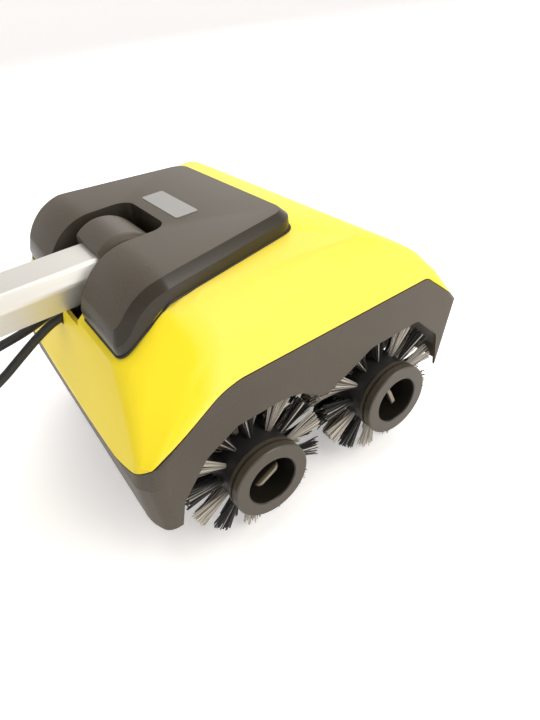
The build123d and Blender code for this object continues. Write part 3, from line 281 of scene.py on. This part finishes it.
def closed(thing, flat_degrees=0.0):
    """Merges doubled points, clears flats if asked to, and turns the normals outward."""
    only(thing)
    bpy.ops.object.mode_set(mode="EDIT")
    bpy.ops.mesh.select_all(action="SELECT")
    bpy.ops.mesh.remove_doubles(threshold=0.00001)
    if flat_degrees:
        bpy.ops.mesh.dissolve_limited(angle_limit=math.radians(flat_degrees))
    bpy.ops.mesh.normals_make_consistent(inside=False)
    bpy.ops.object.mode_set(mode="OBJECT")
    return thing


def finish_with(thing, kind, **settings):
    """Adds one modifier and applies it."""
    only(thing)
    modifier = thing.modifiers.new(kind.title(), kind)
    for name, value in settings.items():
        setattr(modifier, name, value)
    bpy.ops.object.modifier_apply(modifier=modifier.name)
    return thing


def joined(name, pieces):
    """Makes one piece of several."""
    only(*pieces)
    bpy.ops.object.join()
    return fresh(name)


def placed_copies(name, sources, places):
    """Copies of the sources, each with its own mesh at its own place, made one piece."""
    copies = []
    for source, place in zip(sources, places):
        mesh = source.data.copy()
        mesh.transform(place)
        copy = bpy.data.objects.new(name, mesh)
        bpy.context.collection.objects.link(copy)
        copies.append(copy)
    return joined(name, copies)


def dress(thing, *materials):
    """Gives a new piece its finishes."""
    thing.data.materials.clear()
    for material in materials:
        thing.data.materials.append(material)
    return thing


def finish_named(name):
    """A finish that the finishes operator has made."""
    material = bpy.data.materials.get(name)
    if material is None:
        raise RuntimeError("the finishes come before the pieces: " + name)
    return material


def each_brush_end(kind):
    """Nodes of one kind of piece, at both ends of both brushes."""
    return [side + "_" + kind + "_" + hand
            for side in ("front", "rear") for hand in ("left", "right")]


class PATIO_OT_stage(bpy.types.Operator):
    """Sets the pale floor, the soft lights and the camera of the photograph."""

    bl_idname = "patio.stage"
    bl_label = "Stage, lights and camera"

    floor_radius = 4.6
    floor_drop = 0.0004
    floor_glow = 0.42
    # How much wider each step of the wall is than the one below, and how far above it
    wall_steps = ((1.12, 0.05), (1.10, 0.20), (1.06, 0.45), (1.02, 0.80), (1.0, 1.6))
    air_tint = (1.0, 0.985, 0.975, 1.0)
    air_glow = 0.33
    # Name, place, aim, width, power and tint of each soft light
    soft_lights = (
        ("window_light", (-1.5, -1.4, 1.5), (0.0, -0.45, 0.10), 1.5, 30.0, (1.0, 0.98, 0.94)),
        ("ceiling_light", (0.2, -0.9, 2.4), (0.0, -0.45, 0.0), 2.4, 28.0, (1.0, 0.985, 0.96)),
        ("far_light", (1.8, -1.8, 1.6), (0.4, -0.9, 0.0), 2.0, 20.0, (1.0, 0.985, 0.96)))
    # The camera that fits the photograph: its place, its right and its up, then its lens in mm
    eye = (-0.37188, -0.28668, 0.36116)
    eye_right = (-0.57880, -0.80784, -0.11128)
    eye_up = (0.45503, -0.43319, 0.77801)
    focal_length = 25.863
    sensor_side = 36.0

    def execute(self, context):
        floor = self.floor(context.scene.patio_colours)
        for light in self.soft_lights:
            self.light(*light)
        self.air(context.scene)
        self.camera(context)
        return {"FINISHED"}

    def floor(self, colours):
        """A round glowing floor that turns up into a low wall."""
        only()
        bpy.ops.mesh.primitive_circle_add(
            vertices=96, radius=self.floor_radius, fill_type="NGON",
            location=(0.0, 0.0, -self.floor_drop))
        floor = fresh("studio_floor")
        bpy.ops.object.mode_set(mode="EDIT")
        bpy.ops.mesh.select_all(action="SELECT")
        bpy.ops.mesh.poke()
        bpy.ops.mesh.select_all(action="SELECT")
        bpy.ops.mesh.region_to_loop()
        for widen, lift in self.wall_steps:
            bpy.ops.mesh.extrude_edges_move(TRANSFORM_OT_translate={"value": (0.0, 0.0, lift)})
            bpy.ops.transform.resize(value=(widen, widen, 1.0), center_override=(0.0, 0.0, 0.0))
        bpy.ops.mesh.select_all(action="SELECT")
        bpy.ops.mesh.normals_make_consistent(inside=True)
        bpy.ops.object.mode_set(mode="OBJECT")
        smoothed(settle(floor), degrees=40.0)
        pale = Finish("pale_floor", gloss=0.2)
        colour = pale.mixed(pale.grain(3.0, 3.0), shade(colours.floor, 0.985), colours.floor)
        pale.feed(pale.shader.inputs["Emission Color"], colour)
        pale.shader.inputs["Emission Strength"].default_value = self.floor_glow
        return dress(floor, pale.wear(colour, 0.75 + 0.1 * pale.grain(60.0)))

    def light(self, name, spot, aim, width, power, tint):
        """One round soft light, turned to what it lights."""
        lamp = bpy.data.lights.new(name, "AREA")
        lamp.shape = "DISK"
        lamp.size = width
        lamp.energy = power
        lamp.color = tint
        holder = bpy.data.objects.new(name, lamp)
        bpy.context.collection.objects.link(holder)
        holder.location = spot
        holder.rotation_euler = (Vector(aim) - Vector(spot)).to_track_quat("-Z", "Y").to_euler()

    def air(self, scene):
        """The even light of a pale room, shown without a film look."""
        world = bpy.data.worlds.new("pale_room")
        world.use_nodes = True
        air = world.node_tree.nodes["Background"]
        air.inputs["Color"].default_value = self.air_tint
        air.inputs["Strength"].default_value = self.air_glow
        scene.world = world
        scene.view_settings.view_transform = "Standard"
        scene.view_settings.look = "None"

    def camera(self, context):
        """The camera, where the photograph was taken from."""
        lens = bpy.data.cameras.new("photo_view")
        lens.sensor_width = self.sensor_side
        lens.sensor_height = self.sensor_side
        lens.sensor_fit = "AUTO"
        lens.lens = self.focal_length
        lens.clip_start = 0.01
        camera = bpy.data.objects.new("photo_view", lens)
        context.collection.objects.link(camera)
        right, up = Vector(self.eye_right), Vector(self.eye_up)
        turn = Matrix((right, up, right.cross(up))).transposed().to_4x4()
        camera.matrix_world = Matrix.Translation(self.eye) @ turn
        context.scene.camera = camera


class PATIO_OT_finishes(bpy.types.Operator):
    """Makes the finishes and gives every solid its own."""

    bl_idname = "patio.finishes"
    bl_label = "Finishes of the solids"

    # Solids that aren't named here wear smooth black
    worn_by = {
        "moulded_yellow": ["body_cover"],
        "grained_cover": ["top_cover"],
        "grained_base": ["base_frame", "pivot_bracket", "knuckle", "handle_left", "handle_right",
                         "tube_coupling"],
        "smooth_hub": each_brush_end("hub"),
        "roller_core": each_brush_end("roller"),
        "lock_tab": each_brush_end("lock"),
        "silver_paint": ["lower_tube", "upper_tube"],
        "control_black": ["trigger", "lock_button", "speed_dial", "water_tap", "run_capacitor",
                          "cooling_fan", "motor_end_cap"],
        "cut_steel": ["front_drive_gear", "rear_drive_gear", "front_idler_gear", "rear_idler_gear",
                      "reduction_gear"],
        "turned_steel": ["front_axle", "rear_axle", "layshaft", "motor_shaft", "pivot_pin",
                         "shaft_bearings"],
        "cast_alloy": ["gear_case_left", "gear_case_right", "motor_end_shield"],
        "stacked_steel": ["motor_stator", "rotor_core"],
        "soft_rubber": ["shaft_seals", "cable_gland", "mains_gland", "cord_clips"],
    }
    # Off a hub's axle: where the painted shade inside its bore begins, and where it is full
    bore_shade_rim = 0.0212
    bore_shade_wall = 0.0203
    # Off the middle of the machine: where the pale grip of a lock begins, and where it is full;
    # nearer the middle the lock wears painted shade, as dark as the hub's bore
    grip_root = 0.1500
    grip_edge = 0.1530
    # Name, gloss, cloud scale and detail, dark and light tone, least roughness and its spread, then
    # the scale, depth and strength of the grain
    plain_finishes = (
        ("roller_core", 0.5, 36.0, 3.0, (0.010, 0.010, 0.010), (0.020, 0.019, 0.018),
         0.30, 0.18, 380.0, 0.00006, 0.15),
        ("smooth_black", 0.5, 45.0, 3.0, (0.012, 0.012, 0.012), (0.024, 0.023, 0.022),
         0.30, 0.18, 500.0, 0.00006, 0.15),
        ("soft_rubber", 0.4, 70.0, 4.0, (0.013, 0.013, 0.014), (0.030, 0.029, 0.028),
         0.50, 0.20, 1600.0, 0.0001, 0.22),
        ("cord_sheath", 0.5, 90.0, 3.0, (0.010, 0.010, 0.011), (0.022, 0.021, 0.021),
         0.34, 0.20, 900.0, 0.0001, 0.2),
        ("bare_plate_film", 0.5, 60.0, 4.0, (0.20, 0.195, 0.185), (0.245, 0.24, 0.23),
         0.30, 0.22, 800.0, 0.00004, 0.15))

    def execute(self, context):
        colours = context.scene.patio_colours
        self.skins(colours)
        self.plastics(colours)
        self.brush_parts(colours)
        self.metals(colours)
        for plain in self.plain_finishes:
            self.clouded(*plain)
        for thing in nodes.values():
            self.put_on(thing, finish_named("smooth_black"))
        for name, wearers in self.worn_by.items():
            for node in wearers:
                self.put_on(nodes[node], finish_named(name))
        return {"FINISHED"}

    def put_on(self, thing, material):
        """Gives one solid its finish."""
        if not thing.material_slots:
            thing.data.materials.append(material)
        for slot in thing.material_slots:
            slot.material = material

    def clouded(self, name, gloss, cloud_scale, detail, dark, light, rough, spread,
                grain_scale, depth, strength):
        """A plain finish whose tone and roughness drift together over a fine grain."""
        plain = Finish(name, gloss=gloss)
        cloud = plain.grain(cloud_scale, detail)
        plain.wear(plain.mixed(cloud, dark, light), rough + spread * cloud,
                   plain.grain(grain_scale), depth, strength)

    def skins(self, colours):
        """The yellow skin, in a paler tone for its lit faces and a deeper tone as painted shade
        where it faces the rear, and the grained cover on it.
        """
        yellow = Finish("moulded_yellow", gloss=0.07)
        cloud = yellow.grain(7.0, 3.0)
        # A paler yellow for the lit faces and a deeper yellow as painted shade where the skin faces
        # the rear, mixed by its rear mark
        pale = yellow.toned(cloud, colours.yellow, 0.93, 1.04)
        rear_shade = yellow.toned(cloud, colours.rear_shade_yellow, 0.95, 1.03)
        yellow.wear(yellow.mixed(yellow.mark("rear"), pale, rear_shade),
                    0.30 + 0.12 * yellow.grain(55.0, 3.0),
                    yellow.grain(260.0), depth=0.00008, strength=0.10)

        cover = Finish("grained_cover", gloss=0.32)
        speck = cover.grain(1500.0)
        cloud = cover.grain(11.0, 3.0)
        rim = cover.mark("rim")
        mottle = cover.eased(0.7 * speck + 0.3 * cloud, 0.30, 0.70)
        grained = cover.toned(mottle, colours.cover_grey, 0.72, 1.28)
        smooth = cover.toned(cloud, colours.cover_grey, 0.36, 0.50)
        cover.wear(cover.mixed(rim, grained, smooth), 0.46 + 0.16 * cloud - 0.22 * rim,
                   0.6 * cover.pebble(1100.0) + 0.4 * speck, depth=0.00018, strength=0.30)

    def plastics(self, colours):
        """The grained base and the black controls."""
        base = Finish("grained_base", gloss=0.36)
        speck = base.grain(1300.0)
        cloud = base.grain(9.0, 3.0)
        mottle = base.eased(0.6 * speck + 0.4 * cloud, 0.30, 0.70)
        base.wear(base.toned(mottle, colours.base_grey, 0.78, 1.25), 0.38 + 0.20 * cloud,
                  speck, depth=0.00014, strength=0.28)

        control = Finish("control_black")
        speck = control.grain(1200.0)
        control.wear(control.mixed(speck, (0.014, 0.014, 0.015), (0.028, 0.027, 0.027)),
                     0.36 + 0.15 * control.grain(25.0, 3.0), speck, depth=0.0001, strength=0.2)

    def brush_parts(self, colours):
        """The hubs with painted shade in their bores, the locks in them with painted shade where
        they sit deep, and the strands with painted shade at their roots.
        """
        hub = Finish("smooth_hub", gloss=0.38)
        cloud = hub.grain(30.0, 3.0)
        _, along, up = hub.parts()
        off_axle = abs(along - head_middle) - axle_reach
        above = up - axle_height
        from_axle = off_axle * off_axle + above * above
        # Painted shade: the hub turns dark inside its bore
        bore_shade = hub.eased(from_axle, self.bore_shade_rim ** 2, self.bore_shade_wall ** 2)
        outside = hub.toned(cloud, colours.hub_grey, 0.85, 1.20)
        hub.wear(hub.mixed(bore_shade, outside, shade(colours.hub_grey, 0.22)), 0.30 + 0.16 * cloud,
                 hub.grain(420.0), depth=0.00006, strength=0.15)

        tab = Finish("lock_tab")
        cloud = tab.grain(40.0, 3.0)
        out, _, _ = tab.parts()
        # The lock is dark with painted shade where it sits in the bore, and pale at its grip
        grip_beyond_shade = tab.eased(out * out, self.grip_root ** 2, self.grip_edge ** 2)
        pale = tab.toned(cloud, colours.hub_grey, 3.0, 3.8)
        tab.wear(tab.mixed(grip_beyond_shade, shade(colours.hub_grey, 0.25), pale), 0.34 + 0.16 * cloud,
                 tab.grain(700.0), depth=0.00008, strength=0.2)

        strand = Finish("brush_strand", gloss=0.45)
        streak = strand.grain(900.0)
        pale = strand.toned(streak, colours.pale_strand, 0.80, 1.20)
        black = strand.mixed(streak, (0.010, 0.010, 0.010), (0.026, 0.025, 0.023))
        dyed = strand.mixed(strand.mark("pale"), black, pale)
        # Painted shade at the roots: each strand darkens toward the sleeve it stands in
        clear_of_root_shade = strand.eased(strand.mark("along"), -0.55, 0.55)
        strand.wear(strand.mixed(clear_of_root_shade, (0.030, 0.028, 0.025), dyed), 0.38 + 0.15 * streak)

    def metals(self, colours):
        """The painted tubes and the bare metals inside."""
        silver = Finish("silver_paint", coat=0.2, coat_rough=0.2)
        drawn = silver.grain(260.0, 3.0, (1.0, 0.012, 1.0))
        fleck = silver.grain(1800.0, 1.0)
        sparkle = 0.75 * drawn + 0.25 * fleck
        silver.wear(silver.toned(sparkle, colours.tube_silver, 0.92, 1.06), 0.30 + 0.14 * drawn,
                    drawn, depth=0.00005, strength=0.12, metallic=0.45 + 0.2 * fleck)

        cut = Finish("cut_steel")
        line = cut.grain(300.0, 3.0, (0.06, 1.0, 1.0))
        cut.wear(cut.mixed(line, (0.34, 0.33, 0.32), (0.56, 0.55, 0.53)), 0.28 + 0.2 * line,
                 line, depth=0.00006, strength=0.2, metallic=0.95)

        turned = Finish("turned_steel")
        ring = turned.grain(420.0, 3.0, (1.0, 0.05, 0.05))
        turned.wear(turned.mixed(ring, (0.42, 0.41, 0.40), (0.64, 0.63, 0.61)), 0.20 + 0.2 * ring,
                    ring, depth=0.00005, strength=0.2, metallic=1.0)

        cast = Finish("cast_alloy")
        pit = cast.grain(520.0, 4.0)
        cast.wear(cast.mixed(pit, (0.36, 0.36, 0.36), (0.52, 0.52, 0.51)), 0.42 + 0.22 * pit,
                  pit, depth=0.0002, strength=0.35, metallic=0.85)

        stack = Finish("stacked_steel")
        sheet = stack.node("ShaderNodeTexWave", {"bands_direction": "X"}, {
            "Vector": stack.place(), "Scale": 320.0, "Distortion": 0.4})[1]
        stack.wear(stack.mixed(sheet, (0.16, 0.155, 0.15), (0.36, 0.35, 0.34)), 0.36 + 0.2 * sheet,
                   sheet, depth=0.0002, strength=0.4, metallic=0.85)


def tube_along(name, route, diameter, steps=14):
    """A round rod along a smooth route, and the line of points through its middle."""
    curve = bpy.data.curves.new(name, "CURVE")
    curve.dimensions = "3D"
    curve.resolution_u = steps
    spline = curve.splines.new("NURBS")
    spline.points.add(len(route) - 1)
    for point, spot in zip(spline.points, route):
        point.co = (*spot, 1.0)
    spline.order_u = 3
    spline.use_endpoint_u = True
    line = bpy.data.objects.new(name, curve)
    bpy.context.collection.objects.link(line)
    centre = bpy.data.meshes.new_from_object(line)
    path = [tuple(vertex.co) for vertex in centre.vertices]
    bpy.data.meshes.remove(centre)
    curve.bevel_depth = 0.5 * diameter
    curve.bevel_resolution = 5
    curve.use_fill_caps = True
    only(line)
    bpy.ops.object.convert(target="MESH")
    return smoothed(closed(fresh(name)), degrees=50.0), path


def merged_copy(node, name):
    """A copy of one solid with its seams closed and its flats cleared, to stand in for it."""
    mesh = nodes[node].data.copy()
    mesh.transform(nodes[node].matrix_world)
    copy = bpy.data.objects.new(name, mesh)
    bpy.context.collection.objects.link(copy)
    return closed(copy, flat_degrees=0.6)


class PATIO_OT_shells(bpy.types.Operator):
    """Softens the yellow skin and marks where it faces the rear for its painted shade, softens the
    top cover, and lays a thin dark rod between them as a painted shadow of the gap under the cover.
    """

    bl_idname = "patio.shells"
    bl_label = "Skin, top cover and seal"

    # How far the skin faces backward where its painted shade, a deeper yellow, begins, and over
    # what span it fills in
    rear_shade_start = 0.05
    rear_shade_span = 0.35
    # The cover is smooth where it faces this far sideways, or less than this far up
    rim_sideways = 0.30
    rim_upward = 0.52
    # Half the foot of the top cover, across and along from the head's middle, and its corners
    foot_corners = ((0.0385, 0.1240), (0.1055, 0.1240), (0.1090, 0.0840), (0.0840, -0.0320),
                    (0.0, -0.0320))
    foot_radii = (0.012, 0.012, 0.020)
    corner_steps = 8
    # The foot runs level, bends down and then follows the rear slope
    foot_level = 0.2012
    bend_start = 0.0805
    bend_length = 0.0135
    bend_radius = 0.022
    slope_start = 0.088
    slope_fall = 0.775

    def execute(self, context):
        sizes = context.scene.patio_sizes
        skin = smoothed(merged_copy("body_cover", "moulded_skin"), degrees=28.0)
        # The rear mark says how far each point faces backward, and there the skin wears its painted
        # shade
        rear = skin.data.attributes.new("rear", "FLOAT", "POINT")
        for vertex, value in zip(skin.data.vertices, rear.data):
            turned = (vertex.normal.y - self.rear_shade_start) / self.rear_shade_span
            value.value = min(1.0, max(0.0, turned))
        dress(skin, finish_named("moulded_yellow"))
        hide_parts("body_cover")
        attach(skin, "head")

        cover = merged_copy("top_cover", "soft_cover")
        finish_with(cover, "BEVEL", width=sizes.rim_softness, segments=3, limit_method="ANGLE",
                    angle_limit=math.radians(24.0))
        smoothed(cover, degrees=28.0)
        rim = cover.data.attributes.new("rim", "FLOAT", "FACE")
        for face, value in zip(cover.data.polygons, rim.data):
            sideways = abs(face.normal.x) > self.rim_sideways or face.normal.z < self.rim_upward
            value.value = 1.0 if sideways else 0.0
        dress(cover, finish_named("grained_cover"))
        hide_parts("top_cover")
        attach(cover, "head")

        # A thin black rod round the cover's foot: a painted shadow of the gap between the cover and
        # the skin
        shadow, _ = tube_along("cover_shadow", self.foot_of_cover(), 2.0 * sizes.shadow_radius, steps=3)
        dress(shadow, finish_named("soft_rubber"))
        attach(shadow, "head")
        return {"FINISHED"}

    def foot_of_cover(self):
        """The cover's foot, from one side of the pole's well round the front to the other side."""
        corners = [Vector(corner) for corner in self.foot_corners]
        half = [corners[0]]
        for before, here, after, radius in zip(corners, corners[1:], corners[2:], self.foot_radii):
            into = (before - here).normalized()
            out = (after - here).normalized()
            reach = radius / math.tan(into.angle(out) / 2)
            for step in range(self.corner_steps + 1):
                share = step / self.corner_steps
                half.append(here + into * reach * (1 - share) ** 2 + out * reach * share ** 2)
        half.append(corners[-1])
        whole = half + [Vector((-spot.x, spot.y)) for spot in reversed(half[:-1])]
        return [(spot.x, spot.y + head_middle, self.foot_height(spot.y)) for spot in whole]

    def foot_height(self, along):
        """Height of the seam under the cover: level, then rounded into the rear slope."""
        bend = along - self.bend_start
        if bend < 0.0:
            return self.foot_level
        if bend < self.bend_length:
            drop = self.bend_radius - math.sqrt(self.bend_radius ** 2 - bend ** 2)
            return self.foot_level - drop
        return self.foot_level - self.slope_fall * (along - self.slope_start)


class PATIO_OT_cords(bpy.types.Operator):
    """Draws the motor cable and the water hose along their routes."""

    bl_idname = "patio.cords"
    bl_label = "Cable and hose"

    def execute(self, context):
        diameter = context.scene.patio_sizes.cord_diameter
        # The slack behind the head, in metres
        cable_loop = [
            (0.0100, -0.35525, 0.1575), (0.0100, -0.33025, 0.1575), (0.0095, -0.31125, 0.1495),
            (0.0080, -0.29125, 0.1385), (0.0050, -0.27125, 0.1280), (0.0000, -0.23925, 0.1175),
            (-0.0050, -0.19925, 0.1155), (-0.0080, -0.16025, 0.1305), (-0.0080, -0.13955, 0.1495),
            (-0.0080, -0.11355, 0.1627), (-0.0080, -0.09355, 0.1627)]
        hose_loop = [
            (0.0250, -0.35525, 0.1575), (0.0250, -0.33325, 0.1575), (0.0240, -0.30825, 0.1495),
            (0.0215, -0.28125, 0.1465), (0.0170, -0.24525, 0.1440), (0.0130, -0.20525, 0.1430),
            (0.0100, -0.16525, 0.1475), (0.0080, -0.12355, 0.1627), (0.0080, -0.09355, 0.1627)]
        # The stretches that the clips hold under the pole
        held = ((-0.09325, 0.1627), (-0.07925, 0.1627), (-0.04715, 0.1612), (0.00965, 0.1567),
                (0.07885, 0.1567), (0.13565, 0.1612), (0.16775, 0.1627), (0.18575, 0.1627),
                (0.20945, 0.1612), (0.25125, 0.1567), (0.30225, 0.1567), (0.34405, 0.1612),
                (0.36775, 0.1627))
        cable_pole = [(-0.008, along, up) for along, up in held] + [(-0.008, 0.47475, 0.1627)]
        hose_pole = [(0.008, along, up) for along, up in held] + [
            (0.0080, 0.38675, 0.1627), (0.0161, 0.41465, 0.1645), (0.0299, 0.44035, 0.1677),
            (0.0380, 0.46225, 0.1695), (0.0380, 0.48225, 0.1695)]
        for name, route, length in (
                ("motor_cable_loop", cable_loop, 0.2838), ("water_hose_loop", hose_loop, 0.2664),
                ("motor_cable_pole", cable_pole, 0.5689), ("water_hose_pole", hose_pole, 0.5825)):
            tube, path = tube_along(name + "_sheath", route, diameter)
            dress(tube, finish_named("cord_sheath"))
            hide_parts(name)
            if name.endswith("loop"):
                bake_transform(tube)
            else:
                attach(tube, "pole")
        return {"FINISHED"}


class PATIO_OT_brushes(bpy.types.Operator):
    """Grows the tufts of the four brush sleeves."""

    bl_idname = "patio.brushes"
    bl_label = "Brush tufts"

    # One bunch: its strands, their turn from one to the next, their length, how flat the oval of
    # tips is, half the root's oval, and the share of strands in the other colour
    strands_in_bunch = 22
    golden_turn = 2.39996
    strand_length = 0.0305
    oval_flatness = 0.55
    root_oval = (0.0014, 0.0020)
    odd_share = 0.14
    # One sleeve: its backing tube, the room at its ends, the roots off the axle, and the end rings
    backing_radius = 0.030
    backing_thickness = 0.0009
    backing_edge = 0.0003
    end_room = 0.0005
    root_radius = 0.0294
    first_ring = 0.0082
    last_ring = 0.0097
    # How far chance may move things: turns in radians, lengths as a share, places in metres
    strand_turn_play = 0.35
    strand_length_play = 0.07
    strand_roll_play = 2.0
    tuft_turn_play = 0.03
    tuft_lean_play = 0.03
    tuft_slide_play = 0.0004
    chance_seed = 7

    def execute(self, context):
        sizes = context.scene.patio_sizes
        chance = random.Random(self.chance_seed)
        strand = self.strand(sizes.strand_radius)
        bunches = [self.bunch(strand, sizes.tuft_spread, pale, chance)
                   for pale in (1.0, 1.0, 0.0, 0.0)]
        for side in ("front", "rear"):
            for hand in ("left", "right"):
                node = side + "_bristles_" + hand
                sleeve = self.sleeve(node, bunches, sizes, chance)
                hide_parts(node)
                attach(sleeve, side + "_roller")
        for thing in (strand, *bunches):
            bpy.data.objects.remove(thing)
        return {"FINISHED"}

    def strand(self, radius):
        """One three-sided strand, a unit long."""
        only()
        bpy.ops.mesh.primitive_cone_add(
            vertices=3, radius1=0.8 * radius, radius2=radius, depth=1.0, location=(0, 0, 0.5))
        thing = settle(fresh("strand"))
        along = thing.data.attributes.new("along", "FLOAT", "POINT")
        for vertex, value in zip(thing.data.vertices, along.data):
            value.value = vertex.co.z
        return thing

    def bunch(self, strand, spread, pale, chance):
        """Strands that fan out from one root to tips on a flat oval."""
        places = []
        dyes = []
        for number in range(self.strands_in_bunch):
            ring = math.sqrt((number + 0.5) / self.strands_in_bunch)
            turn = self.golden_turn * number + chance.uniform(
                -self.strand_turn_play, self.strand_turn_play)
            tip = Vector((self.oval_flatness * spread * ring * math.cos(turn),
                          spread * ring * math.sin(turn), self.strand_length))
            tip *= 1.0 - chance.uniform(0.0, self.strand_length_play)
            across, along = self.root_oval
            root = Vector((across * math.cos(turn), along * math.sin(turn), 0.0)) * ring
            reach = tip - root
            turned = reach.to_track_quat("Z", "X").to_matrix().to_4x4()
            roll = Matrix.Rotation(chance.uniform(0.0, self.strand_roll_play), 4, "Z")
            stretch = Matrix.Diagonal((1.0, 1.0, reach.length, 1.0))
            places.append(Matrix.Translation(root) @ turned @ roll @ stretch)
            odd = chance.random() < self.odd_share
            dyes.append(1.0 - pale if odd else pale)
        bunch = placed_copies("bunch", [strand] * len(places), places)
        dye = bunch.data.attributes.new("pale", "FLOAT", "POINT")
        corners = len(strand.data.vertices)
        for number, value in enumerate(dye.data):
            value.value = dyes[number // corners]
        return bunch

    def sleeve(self, node, bunches, sizes, chance):
        """The backing tube of one sleeve with its tufts, within the solid's own box."""
        low, high = map(Vector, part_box(node))
        toward = -1.0 if node.startswith("front") else 1.0
        axle = Vector((0.0, head_middle + toward * axle_reach, axle_height))
        inner, outer = low.x + self.end_room, high.x - self.end_room
        backing = self.backing(inner, outer, axle)
        outward = 1.0 if inner > 0 else -1.0
        first = (inner if outward > 0 else outer) + outward * self.first_ring
        last = (outer if outward > 0 else inner) - outward * self.last_ring
        lift = Matrix.Translation((0.0, 0.0, self.root_radius))
        sources = []
        places = []
        for ring in range(sizes.tuft_rings):
            across = first + (last - first) * ring / (sizes.tuft_rings - 1)
            for number in range(sizes.tufts_in_ring):
                turn = 2 * math.pi * (number + 0.5 * (ring % 2)) / sizes.tufts_in_ring
                turn += chance.uniform(-self.tuft_turn_play, self.tuft_turn_play)
                swing = Matrix.Rotation(turn, 4, "X")
                pale = (number + ring // 2) % 2 == 0
                for half in (0, 1):
                    slide = chance.uniform(-self.tuft_slide_play, self.tuft_slide_play)
                    spot = Matrix.Translation((across + slide, axle.y, axle.z))
                    lean = Matrix.Rotation(
                        chance.uniform(-self.tuft_lean_play, self.tuft_lean_play), 4, "Y")
                    roll = Matrix.Rotation(chance.choice((0.0, math.pi)), 4, "Z")
                    sources.append(bunches[(0 if pale else 2) + half])
                    places.append(spot @ swing @ lift @ lean @ roll)
        strands = placed_copies("strands", sources, places)
        for part in (backing, strands):
            dress(part, finish_named("roller_core"), finish_named("brush_strand"))
        for face in strands.data.polygons:
            face.material_index = 1
        return joined(node + "_tufted", [backing, strands])

    def backing(self, inner, outer, axle):
        """The thin tube that the tufts stand in."""
        only()
        bpy.ops.mesh.primitive_cylinder_add(
            vertices=48, radius=self.backing_radius, depth=outer - inner, end_fill_type="NOTHING",
            location=((inner + outer) / 2, axle.y, axle.z), rotation=(0, math.pi / 2, 0))
        tube = settle(fresh("backing"))
        finish_with(tube, "SOLIDIFY", thickness=self.backing_thickness, offset=-1.0)
        finish_with(tube, "BEVEL", width=self.backing_edge, segments=2, limit_method="ANGLE")
        return smoothed(tube, degrees=40.0)


class PATIO_OT_plate(bpy.types.Operator):
    """Lays the bare plate on the top cover."""

    bl_idname = "patio.plate"
    bl_label = "Bare plate"

    # The plate starts above the cover and is dropped on it
    start = (0.0, -0.436, 0.24)
    sides = (0.062, 0.0185)
    thickness = 0.0003
    corner_radius = 0.0022

    def execute(self, context):
        lift = context.scene.patio_sizes.plate_lift
        only()
        bpy.ops.mesh.primitive_plane_add(size=1.0, location=self.start)
        plate = fresh("bare_plate")
        plate.scale = (*self.sides, 1.0)
        settle(plate)
        bpy.ops.object.mode_set(mode="EDIT")
        bpy.ops.mesh.select_all(action="SELECT")
        bpy.ops.mesh.bevel(offset=self.corner_radius, segments=5, affect="VERTICES")
        bpy.ops.mesh.poke()
        bpy.ops.object.mode_set(mode="OBJECT")
        finish_with(plate, "SUBSURF", subdivision_type="SIMPLE", levels=3, render_levels=3)
        finish_with(plate, "SHRINKWRAP", target=nodes["top_cover"], wrap_method="PROJECT",
                    use_project_z=True, use_negative_direction=True, use_positive_direction=False,
                    offset=lift)
        finish_with(plate, "SOLIDIFY", thickness=self.thickness, offset=-1.0)
        smoothed(plate, degrees=30.0)
        dress(plate, finish_named("bare_plate_film"))
        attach(plate, "head")
        return {"FINISHED"}


class PATIO_PT_panel(bpy.types.Panel):
    """Lists the pieces, the stage and their settings."""

    bl_idname = "PATIO_PT_panel"
    bl_label = "Patio cleaner"
    bl_space_type = "VIEW_3D"
    bl_region_type = "UI"
    bl_category = "Patio cleaner"

    def draw(self, context):
        for made in makers:
            self.layout.operator(made.bl_idname)
        for group in (context.scene.patio_sizes, context.scene.patio_colours):
            for name in group.__annotations__:
                self.layout.prop(group, name)


makers = (PATIO_OT_stage, PATIO_OT_finishes, PATIO_OT_shells, PATIO_OT_cords, PATIO_OT_brushes,
          PATIO_OT_plate)
classes = (PatioSizes, PatioColours, *makers, PATIO_PT_panel)


def register():
    for made in classes:
        bpy.utils.register_class(made)
    bpy.types.Scene.patio_sizes = PointerProperty(type=PatioSizes)
    bpy.types.Scene.patio_colours = PointerProperty(type=PatioColours)


def unregister():
    del bpy.types.Scene.patio_colours
    del bpy.types.Scene.patio_sizes
    for made in reversed(classes):
        bpy.utils.unregister_class(made)


def main():
    register()
    bpy.ops.patio.stage()
    bpy.ops.patio.finishes()
    bpy.ops.patio.shells()
    bpy.ops.patio.cords()
    bpy.ops.patio.brushes()
    bpy.ops.patio.plate()


if __name__ == "__main__":
    main()
